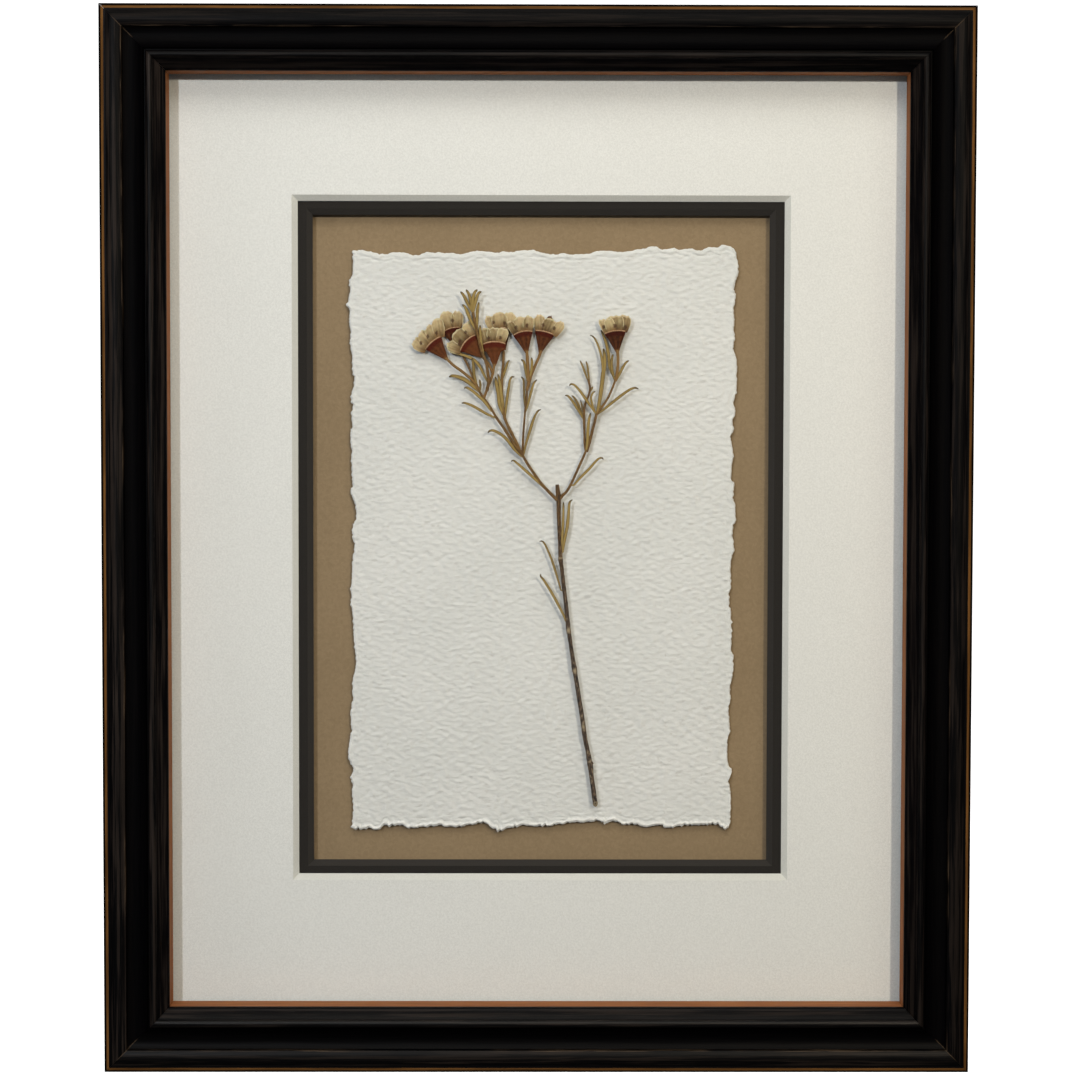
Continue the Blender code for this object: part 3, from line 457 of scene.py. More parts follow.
def barkFinish():
    # dry brown bark, warmer towards the top, with dark pits, light flecks and pale leaf scars
    material, wire, shader = newMaterial("stem bark")
    where = objectPlaces(wire)
    green, _, _ = leafTint(wire, where)
    along, scar, pith, wood = painted(wire, "along", "scar", "pith", "wood")
    fibre = where.stretched((2600, 2600, 420)).noise(1.0, 4.0, 0.65)
    fleck = where.stretched((1400, 1400, 800)).noise(1.0, 3.0, 0.6)
    old = fibre.between(0.35, 0.65).mixed((42, 30, 24), (100, 80, 64))
    young = fibre.between(0.35, 0.65).mixed((58, 38, 20), (106, 76, 38))
    colour = along.between(0.6, 0.86).mixed(old, young)
    colour = (fleck.between(0.55, 0.63) * (0.9 - along * 0.85)).mixed(colour, (152, 136, 114))
    colour = (fleck.between(0.47, 0.39) * (1 - along * 0.5)).mixed(colour, (22, 14, 11))
    colour = scar.mixed(colour, (160, 144, 118))
    colour = pith.mixed(colour, (72, 58, 44))
    ridges = (fibre * 0.6 + fleck * 0.8).bump(0.8, 0.0003)
    plug(wire, shader, Base_Color=wood.mixed(green, colour), Roughness=0.75, Normal=ridges)
    return material


def leafFinish():
    # the dried leaves and the thin brown twigs that carry them
    material, wire, shader = newMaterial("dried leaf")
    where = objectPlaces(wire)
    green, mottle, tone = leafTint(wire, where)
    twig = (tone * 0.4 + mottle * 0.6).between(0.3, 0.7).mixed((84, 60, 35), (134, 102, 60))
    colour = painted(wire, "wood").mixed(green, twig)
    plug(wire, shader, Base_Color=colour, Roughness=0.7, Normal=mottle.bump(0.5, 0.00012),
         Specular_IOR_Level=0.25)
    return material


def cupFinish():
    # dark red-brown flower cup: faint ribs, a redder band under its pale rim, an orange-brown foot
    material, wire, shader = newMaterial("flower cup")
    where = objectPlaces(wire)
    along, rib, tone, rim = painted(wire, "along", "rib", "tone", "rim")
    mottle = where.noise(1400.0, 4.0, 0.65)
    patch = mottle.between(0.3, 0.7)
    skin = (rib * 0.15 + mottle * 0.5 + tone * 0.35).between(0.25, 0.75).mixed((48, 21, 9), (102, 57, 29))
    band = (mottle * 0.6 + tone * 0.4).between(0.3, 0.7).mixed((54, 15, 6), (84, 29, 13))
    skin = along.between(0.7, 0.82).mixed(skin, band)
    skin = along.between(0.25, 0.05).mixed(skin, patch.mixed((84, 50, 24), (118, 78, 38)))
    skin = rim.mixed(skin, patch.mixed((160, 124, 92), (208, 172, 136)))
    plug(wire, shader, Base_Color=skin, Roughness=0.75, Normal=mottle.bump(0.5, 0.00012),
         Specular_IOR_Level=0.12)
    return material


def petalFinish():
    # dried petals: brown at their feet, straw towards their cream rims, with dark throat spots, and
    # darker where their creases sink back, painted shade over their faint veins
    material, wire, shader = newMaterial("dried petal")
    where = objectPlaces(wire)
    along, side, fold, tone = painted(wire, "along", "side", "fold", "tone")
    throat, spot, brown = painted(wire, "throat", "spot", "brown")
    mottle = where.noise(1000.0, 4.0, 0.6)
    patch = mottle.between(0.3, 0.7)
    # the crease values darken the sunken creases: painted shade, mixed with the petals' faint veins
    shade = (mottle * 0.4 + fold * 0.2 + tone * 0.4).between(0.2, 0.8)
    body = along.between(0.05, 0.75).mixed(
        shade.mixed((80, 57, 34), (134, 105, 67)),
        shade.mixed((124, 105, 70), (194, 174, 134)),
    )
    rim = (along.between(0.84, 0.96) + side.between(0.84, 0.98) * along.between(0.2, 0.4)).held()
    body = (rim * 0.75).mixed(body, (219, 205, 169))
    body = throat.mixed(body, patch.mixed((86, 54, 30), (138, 98, 60)))
    body = (spot.between(0.1, 0.9) * 0.85).mixed(body, (74, 46, 28))
    body = brown.mixed(body, patch.mixed((66, 42, 24), (120, 86, 54)))
    plug(wire, shader, Base_Color=body, Roughness=0.75, Normal=mottle.bump(0.35, 0.0001),
         Specular_IOR_Level=0.25, Subsurface_Weight=0.15, Subsurface_Scale=0.0006)
    return material


print("finishes ready to mix")

# Rails.

railShape = {
    "outerEdge": ((0.0, 0.0), (0.0, 12.0), (0.0, 22.2), (0.0, 23.0)),
    "band": ((1.9, 24.6), (6.1, 24.7)),
    "cove": ((6.3, 23.0), (11.7, 24.6)),
    "quirk": ((11.95, 23.6), (12.25, 23.6)),
    "bead": ((12.4, 25.0), (14.5, 25.1)),
    "nose": ((16.7, 23.3), (17.4, 22.2)),
    "rebate": ((17.4, 15.1), (13.85, 15.1), (13.85, 0.0)),
    "rises": {"outerEdge": 0.62, "band": 0.55, "cove": -1.2, "bead": 0.75, "slope": 0.1, "nose": 0.22},
    "sunk": 0.02,
    "mitreGap": 0.03,
    "stations": 90,
    "wobble": 0.035,
    "wobbleAbove": 20.5,
}


def arcBetween(start, end, rise, steps):
    # the points of an arc after its start, bulging outwards by its rise
    start, end = complex(*start), complex(*end)
    half = abs(end - start) / 2
    radius = (half * half + rise * rise) / (2 * abs(rise))
    toward = 1 if rise > 0 else -1
    side = 1j * (end - start) / abs(end - start)
    centre = (start + end) / 2 + side * (rise - toward * radius)
    sweepAngle = 2 * math.asin(min(1.0, half / radius))
    turns = [np.exp(-1j * toward * sweepAngle * step / steps) for step in range(1, steps + 1)]
    spots = [centre + (start - centre) * turn for turn in turns]
    return [(spot.real, spot.imag) for spot in spots]


def railSection():
    # the moulding's outline: mm in from the rail's outer edge, and mm up from its back
    shape, rises = railShape, railShape["rises"]
    section = list(shape["outerEdge"])
    section += arcBetween(section[-1], shape["band"][0], rises["outerEdge"], 10)
    section += arcBetween(*shape["band"], rises["band"], 10)
    section.append(shape["cove"][0])
    section += arcBetween(*shape["cove"], rises["cove"], 14)
    section += shape["quirk"]
    section.append(shape["bead"][0])
    section += arcBetween(*shape["bead"], rises["bead"], 10)
    section += arcBetween(shape["bead"][1], shape["nose"][0], rises["slope"], 6)
    section += arcBetween(*shape["nose"], rises["nose"], 6)
    section += shape["rebate"]
    return np.array(section)


def buildRail(node, length, inward, middle, material):
    # the moulding from mitre to mitre, with the small wobble of hand-planed wood away from the joints
    section = railSection()
    share = np.linspace(-1, 1, railShape["stations"])
    inward = np.array(inward, float)
    front = np.array((0.0, -1.0, 0.0))
    along = np.cross(inward, front)
    points, reach, rise = [], [], []
    for step in share:
        for into, up in section:
            run = step * (length / 2 - (into + railShape["mitreGap"]) * mm)
            shown = up > railShape["wobbleAbove"] and 0.05 < into < 17.3
            spot = Vector((run * 90, into * 0.8, up * 0.8 + length * 60))
            shift = railShape["wobble"] * noise.noise(spot) if shown and abs(step) < 0.995 else 0.0
            place = inward * into * mm + front * (up + shift - railShape["sunk"]) * mm + along * run
            points.append(np.array((middle[0], frameSize["backY"], middle[1])) + place)
            reach.append(into)
            rise.append(up)
    rows, columns = len(share), len(section)
    faces = [face[::-1] for face in gridFaces(rows, columns, loop=True)]
    faces.append(tuple(range(columns)))
    faces.append(tuple(range(rows * columns - 1, (rows - 1) * columns - 1, -1)))
    heap = Heap()
    heap.add(points, faces, reach=np.array(reach), rise=np.array(rise))
    heap.build(node + "_moulding", material, node, sharp=38)


# each rail's way in, the middle of its outer edge, its wear, its wax, and the share of it in the cove
halfWidth, halfHeight = frameSize["width"] / 2, frameSize["height"] / 2
rails = {
    "rail_top": ((0, 0, -1), (0.0, frameSize["height"]), 0.35, 0.055, 0.1),
    "rail_bottom": ((0, 0, 1), (0.0, 0.0), 0.6, 0.16, 0.35),
    "rail_left": ((1, 0, 0), (-halfWidth, halfHeight), 0.8, 0.06, 0.0),
    "rail_right": ((-1, 0, 0), (halfWidth, halfHeight), 0.55, 0.045, 0.0),
}
for node, (inward, middle, wear, wax, waxedCove) in rails.items():
    level = inward[0] == 0
    paint = paintFinish("rubbed black paint, " + node, level, wear, wax, waxedCove)
    buildRail(node, frameSize["width"] if level else frameSize["height"], inward, middle, paint)
print("rails moulded")

# Mats and boards.

boardSize = {"width": 203.0, "height": 255.4}
matWindows = {
    "shift": (0.92, 0.42),
    "ease": 0.05,
    "white": {"heights": (11.0, 12.5), "front": (133.75, 184.7), "rear": (130.76, 181.6)},
    "dark": {"heights": (9.2, 10.7), "front": (126.0, 177.6), "rear": (123.0, 174.55)},
}


def buildMat(node, shape, material):
    # a board with a bevelled window, its edges very slightly eased
    centre = np.array((0.0, frameSize["height"] / 2 / mm))
    window = centre + np.array(matWindows["shift"])
    signs = np.array(((-1, -1), (1, -1), (1, 1), (-1, 1)))
    rear, front = shape["heights"]
    board = centre + signs * (boardSize["width"] / 2, boardSize["height"] / 2)
    ease = matWindows["ease"]
    loops = (
        (board, rear, 0.0),
        (board, front, 0.0),
        (window + signs * (np.array(shape["front"]) / 2 + ease), front, 0.0),
        (window + signs * (np.array(shape["front"]) / 2), front - ease * 0.6, 1.0),
        (window + signs * (np.array(shape["rear"]) / 2 + 0.01), rear + ease, 1.0),
        (window + signs * (np.array(shape["rear"]) / 2), rear, 1.0),
    )
    points, core = [], []
    for corners, height, isBevel in loops:
        for x, z in corners:
            points.append((x * mm, frameSize["backY"] - height * mm, z * mm))
            core.append(isBevel)
    faces = gridFaces(len(loops), 4, loop=True)
    last = 4 * (len(loops) - 1)
    faces += [(last + a, last + b, b, a) for a, b in ((0, 1), (1, 2), (2, 3), (3, 0))]
    heap = Heap()
    heap.add(points, faces, core=np.array(core))
    piece = heap.build(node + "_board", material, node)
    piece.data.shade_flat()


whiteFinish = matFinish("off-white mat board", (233, 233, 233), (222, 222, 219))
# its bevel colour is lighter than its face: painted light against the shade on the slanting bevel
darkFinish = matFinish("charcoal mat board", (39, 36, 34), (52, 49, 47))
buildMat("white_mat", matWindows["white"], whiteFinish)
buildMat("dark_mat", matWindows["dark"], darkFinish)
print("mats cut")

carried = {
    "glass_pane": paneFinish(),
    "tan_board": boardFinish("tan board", (139, 119, 93), (151, 130, 103), 900.0),
    "paper_lift": boardFinish("lift board", (206, 205, 198), (224, 223, 215)),
    "backing_board": boardFinish("pressed fibre board", (74, 50, 33), (116, 84, 58), 350.0),
}
foamFinish = boardFinish("black foam", (22, 21, 22), (40, 39, 40), 1500.0)
tabFinish = steelFinish("tab steel", (126, 126, 128), (168, 168, 170))
hangerFinish = steelFinish("plated hanger steel", (150, 138, 110), (186, 176, 148))
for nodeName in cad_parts:
    for part, finish in (("spacer_", foamFinish), ("tab_", tabFinish), ("hanger", hangerFinish)):
        if part in nodeName:
            carried[nodeName] = finish
for nodeName, finish in carried.items():
    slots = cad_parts[nodeName].data.materials
    if len(slots):
        slots[0] = finish
    else:
        slots.append(finish)
print("boards, glass and fittings finished")

# Handmade sheet.

sheet = {
    "front": 8.4,  # mm over the frame's back, as the next one
    "back": 7.7,
    "across": 240,  # cells
    "down": 400,
    "size": (103.0, 158.0),
    "marginShare": (0.025, 0.017),
    "marginSteps": 12,
    "marginReach": 3.4,
    "sunk": 0.2,
    "feltHeight": 0.15,
    "row": 1.2 * mm,
    "dash": 4.6 * mm,
    "slant": 0.05,
    "tearDepth": 0.3,
    "deckleHeight": 0.17,
    # the four torn edges, in photo pixels
    "top": (
        (352.6, 250.4), (362, 250), (370, 251.5), (378, 253.5), (386, 254), (392, 252.5), (400, 252.3),
        (407, 253), (412, 255), (420, 254.5), (427, 252), (434, 252.8), (440, 252), (445, 253.5),
        (450, 252.5), (458, 254), (465, 253.5), (470, 251.8), (480, 250.8), (490, 251.8), (498, 252.8),
        (503, 251.3), (512, 252), (520, 250.5), (533, 250), (540, 252), (550, 254), (556, 254.5),
        (563, 253), (570, 254.5), (580, 254), (590, 253.5), (595, 251.5), (602, 250.5), (610, 251),
        (620, 251.8), (630, 251), (637, 249.2), (645, 248.5), (650, 246.5), (657, 246.7), (662, 249.5),
        (670, 248.5), (675, 247.8), (680, 249.8), (690, 248.5), (700, 250.5), (706, 248), (712, 246.8),
        (718, 247.5), (722, 244.8), (730, 246), (734, 248.5),
    ),
    "right": (
        (734, 248.5), (736, 252), (737, 258), (738.5, 265), (738, 275), (735.5, 282), (734.5, 290),
        (736, 296), (735, 303), (733.5, 308), (734.5, 315), (734, 330), (735.2, 337), (734, 345),
        (733.5, 350), (736.3, 357), (737, 365), (737, 380), (736.5, 392), (735, 398), (733.5, 404),
        (735.8, 410), (734.8, 416), (732.5, 422), (733.8, 430), (731, 437), (733, 450), (734, 457),
        (732.5, 463), (731.5, 475), (732, 481), (734, 483), (734, 492), (733.5, 499), (735.5, 505),
        (736, 515), (735.5, 522), (732.8, 529), (733, 538), (734.5, 550), (732.5, 556), (730.8, 565),
        (731.3, 588), (729.5, 591), (729.5, 605), (731, 612), (732, 630), (731.5, 650), (733.5, 656),
        (733.5, 670), (732, 680), (730, 688), (731, 700), (728.5, 708), (730, 723), (730, 733),
        (728, 738), (727.5, 755), (728.5, 765), (731.5, 769), (731.5, 775), (728.5, 781), (730.5, 790),
        (731.2, 805), (730.8, 812), (730.4, 819), (729.6, 826),
    ),
    "bottom": (
        (351.6, 828.2), (356, 829.5), (360, 828.5), (364, 830), (369, 827.8), (376, 830), (380, 829.5),
        (385, 825.5), (390, 826.5), (400, 825), (405, 826.5), (409, 828.8), (417, 828), (425, 827),
        (440, 826), (450, 827), (460, 827.5), (466, 825.5), (475, 824.5), (480, 823), (488, 824.5),
        (491, 827.5), (497, 830), (503, 831), (507, 828.5), (515, 827.5), (523, 825.5), (530, 826.5),
        (550, 826), (556, 824.5), (565, 823.5), (575, 822.5), (583, 823), (592, 821.5), (600, 820.5),
        (605, 824.5), (611, 821.5), (618, 822), (623, 825), (633, 824.5), (640, 826), (648, 827.5),
        (655, 825.5), (662, 826), (668, 828), (680, 826.5), (690, 825), (700, 825.5), (710, 824.3),
        (718.5, 824.6), (721.5, 827.5), (725, 829.4), (728.3, 828.2), (729.6, 826),
    ),
    "left": (
        (352.6, 250.4), (352, 256), (353, 262), (352.5, 270), (351, 278), (348.5, 281), (350, 290),
        (348, 300), (346.5, 306), (349.5, 310), (349, 320), (350.3, 330), (350, 340), (350.5, 350),
        (352, 355), (352, 370), (354, 377), (353.5, 385), (351.5, 393), (350.5, 400), (353, 407),
        (351, 413), (352, 425), (350.5, 432), (350.5, 445), (352, 452), (351, 460), (352, 480),
        (352.5, 485), (350.2, 491), (352, 497), (354.5, 503), (355.8, 510), (356, 518), (354, 523),
        (352.5, 527), (352.3, 537), (354.5, 545), (353.5, 553), (352.2, 560), (351.5, 582), (350, 590),
        (351.5, 597), (350, 604), (352, 610), (353, 625), (354, 640), (354.5, 650), (356, 658),
        (355.5, 668), (353, 678), (352.2, 690), (353, 698), (351.8, 705), (350.3, 712), (351.3, 730),
        (349.5, 740), (348, 755), (349.5, 762), (353, 768), (352.5, 773), (350.2, 778), (352.5, 785),
        (351.8, 795), (352.8, 803), (352.8, 815), (352, 822), (351.6, 828.2),
    ),
}


# how each edge is torn: raggedness, its thin margin's breadth in mm, ridge and furrow, and a noise seed
tears = {
    "top": (0.4, 1.5, 0.45, 0.8, 1.0),
    "bottom": (1.0, 1.2, 1.7, 0.5, 5.0),
    "left": (0.6, 0.9, 0.6, 0.4, 9.0),
    "right": (0.6, 0.9, 0.6, 0.3, 13.0),
}


def shares(count, margin):
    # steps across the sheet, closer together along both torn margins
    steps = sheet["marginSteps"]
    near = np.linspace(0, margin, steps, endpoint=False)
    return np.concatenate([near, np.linspace(margin, 1 - margin, count - 2 * steps), 1 - near[::-1]])


def tornEdge(side, steps):
    # the traced edge with the small frays between its points
    ragged, *_, seed = tears[side]
    line = along(onSheet(smoothLine(sheet[side], 4), sheet["front"] * mm)[:, (0, 2)], steps)
    run = lengthAlong(line)
    normal = np.gradient(line, axis=0)[:, ::-1] * (1, -1)
    normal /= np.linalg.norm(normal, axis=1)[:, None]
    fray = np.array([
        0.24 * noise.noise(Vector((step * 700, seed, 0.0)))
        + 0.55 * noise.noise(Vector((step * 1300, seed, 7.0)))
        + 0.55 * abs(noise.noise(Vector((step * 1180, seed, 12.0)))) - 0.08
        for step in run
    ])
    fray[0] = fray[-1] = 0.0
    return line + normal * fray[:, None] * ragged * mm


def buildSheet():
    # a grid stretched between the four torn edges, closed by a rim and a flat back
    columns, rows = sheet["across"] + 1, sheet["down"] + 1
    acrossShares = shares(columns, sheet["marginShare"][0])
    downShares = shares(rows, sheet["marginShare"][1])
    top, bottom = tornEdge("top", acrossShares), tornEdge("bottom", acrossShares)
    left, right = tornEdge("left", downShares), tornEdge("right", downShares)
    u, v = np.meshgrid(acrossShares, downShares)
    u, v = u[:, :, None], v[:, :, None]
    sides = (1 - v) * top[None] + v * bottom[None] + (1 - u) * left[:, None] + u * right[:, None]
    corners = (1 - v) * ((1 - u) * top[0] + u * top[-1]) + v * ((1 - u) * bottom[0] + u * bottom[-1])
    flat = (sides - corners).reshape(-1, 2)
    u, v = u.ravel(), v.ravel()
    level, deckle = tornMargin(flat, u, v)
    height = sheet["front"] - sheet["sunk"] + feltRipple(flat) * (1 - 0.7 * level)
    height += sheet["deckleHeight"] * deckle - sheet["tearDepth"] * level
    points = np.column_stack([flat[:, 0], frameSize["backY"] - height * mm, flat[:, 1]])
    faces = gridFaces(rows, columns)
    rim = rimOf(rows, columns)
    behind = points[rim].copy()
    behind[:, 1] = frameSize["backY"] - (sheet["back"] + 0.12) * mm
    first, count = len(points), len(rim)
    faces += [(rim[k], first + k, first + (k + 1) % count, rim[(k + 1) % count]) for k in range(count)]
    faces.append(tuple(range(first + count - 1, first - 1, -1)))
    heap = Heap()
    # painted highlight on the torn margins, weak at the top edge and strongest at the bottom edge, which
    # faces up into the light
    pale = np.clip(np.maximum(level, deckle * 0.5), 0, 1) * (0.3 + 0.7 * v)
    heap.add(np.vstack([points, behind]), faces, edge=np.concatenate([pale, pale[rim]]))
    heap.build("handmade_sheet", paperFinish(), "deckle_paper", sharp=75)


def feltRipple(flat):
    # the felt's marks: rows of short raised dashes, each row set off from the one before
    height = np.empty(len(flat))
    for index, (x, z) in enumerate(flat):
        slant = z - sheet["slant"] * x
        place = slant / sheet["row"] + 0.7 * noise.noise(Vector((x * 150, z * 130, 3.0)))
        row = math.floor(place)
        sway = noise.noise(Vector((x * 200, row * 0.61, 8.0)))
        dash = 0.45 + math.cos(math.tau * x / sheet["dash"] + 2.4 * row + 4.5 * sway)
        long = noise.noise(Vector((x * 380, slant * 980, 0.0)))
        short = noise.noise(Vector((x * 620, slant * 1900, 5.0)))
        wide = noise.noise(Vector((x * 45, z * 60, 11.0)))
        ridge = dash * math.sin(math.pi * (place - row)) ** 2
        height[index] = ridge * 0.7 + long * 0.5 + short * 1.9 + wide * 0.5
    return height * sheet["feltHeight"]


def tornMargin(flat, u, v):
    # how far the torn edge has thinned out, 1 on the very edge, and the raised ridge and furrow inside it
    width, tall = sheet["size"]
    distances = {"top": v * tall, "bottom": (1 - v) * tall, "left": u * width, "right": (1 - u) * width}
    level, deckle = np.zeros(len(flat)), np.zeros(len(flat))
    for side, distance in distances.items():
        _, breadth, ridge, furrow, seed = tears[side]
        near = distance < sheet["marginReach"]
        wander = np.array([noise.noise(Vector((x * 420, z * 420, seed))) for x, z in flat[near]])
        crumb = np.array([noise.noise(Vector((x * 1900, z * 1900, seed))) for x, z in flat[near]])
        band = breadth * (1.0 + 0.5 * wander)
        place = distance[near] / band
        deckle[near] += ridge * np.exp(-((place - 0.5) / 0.36) ** 2) * (1 + 0.7 * crumb)
        deckle[near] -= furrow * np.exp(-((place - 1.15) / 0.24) ** 2) * np.clip(0.7 + 1.2 * wander, 0, 1)
        fall = np.clip(1.0 - distance[near] / (0.55 * band) + 0.3 * crumb, 0, 1) ** 1.3
        level[near] = np.maximum(level[near], fall)
    return level, np.clip(deckle, -1.0, 1.9)


buildSheet()
print("handmade sheet torn")

# The sprig, traced from the photograph. A stalk or a leaf has its places in the photo, its width in photo
# pixels, its lifts over the paper in mm and its tone. The old wood's places have their own widths too.

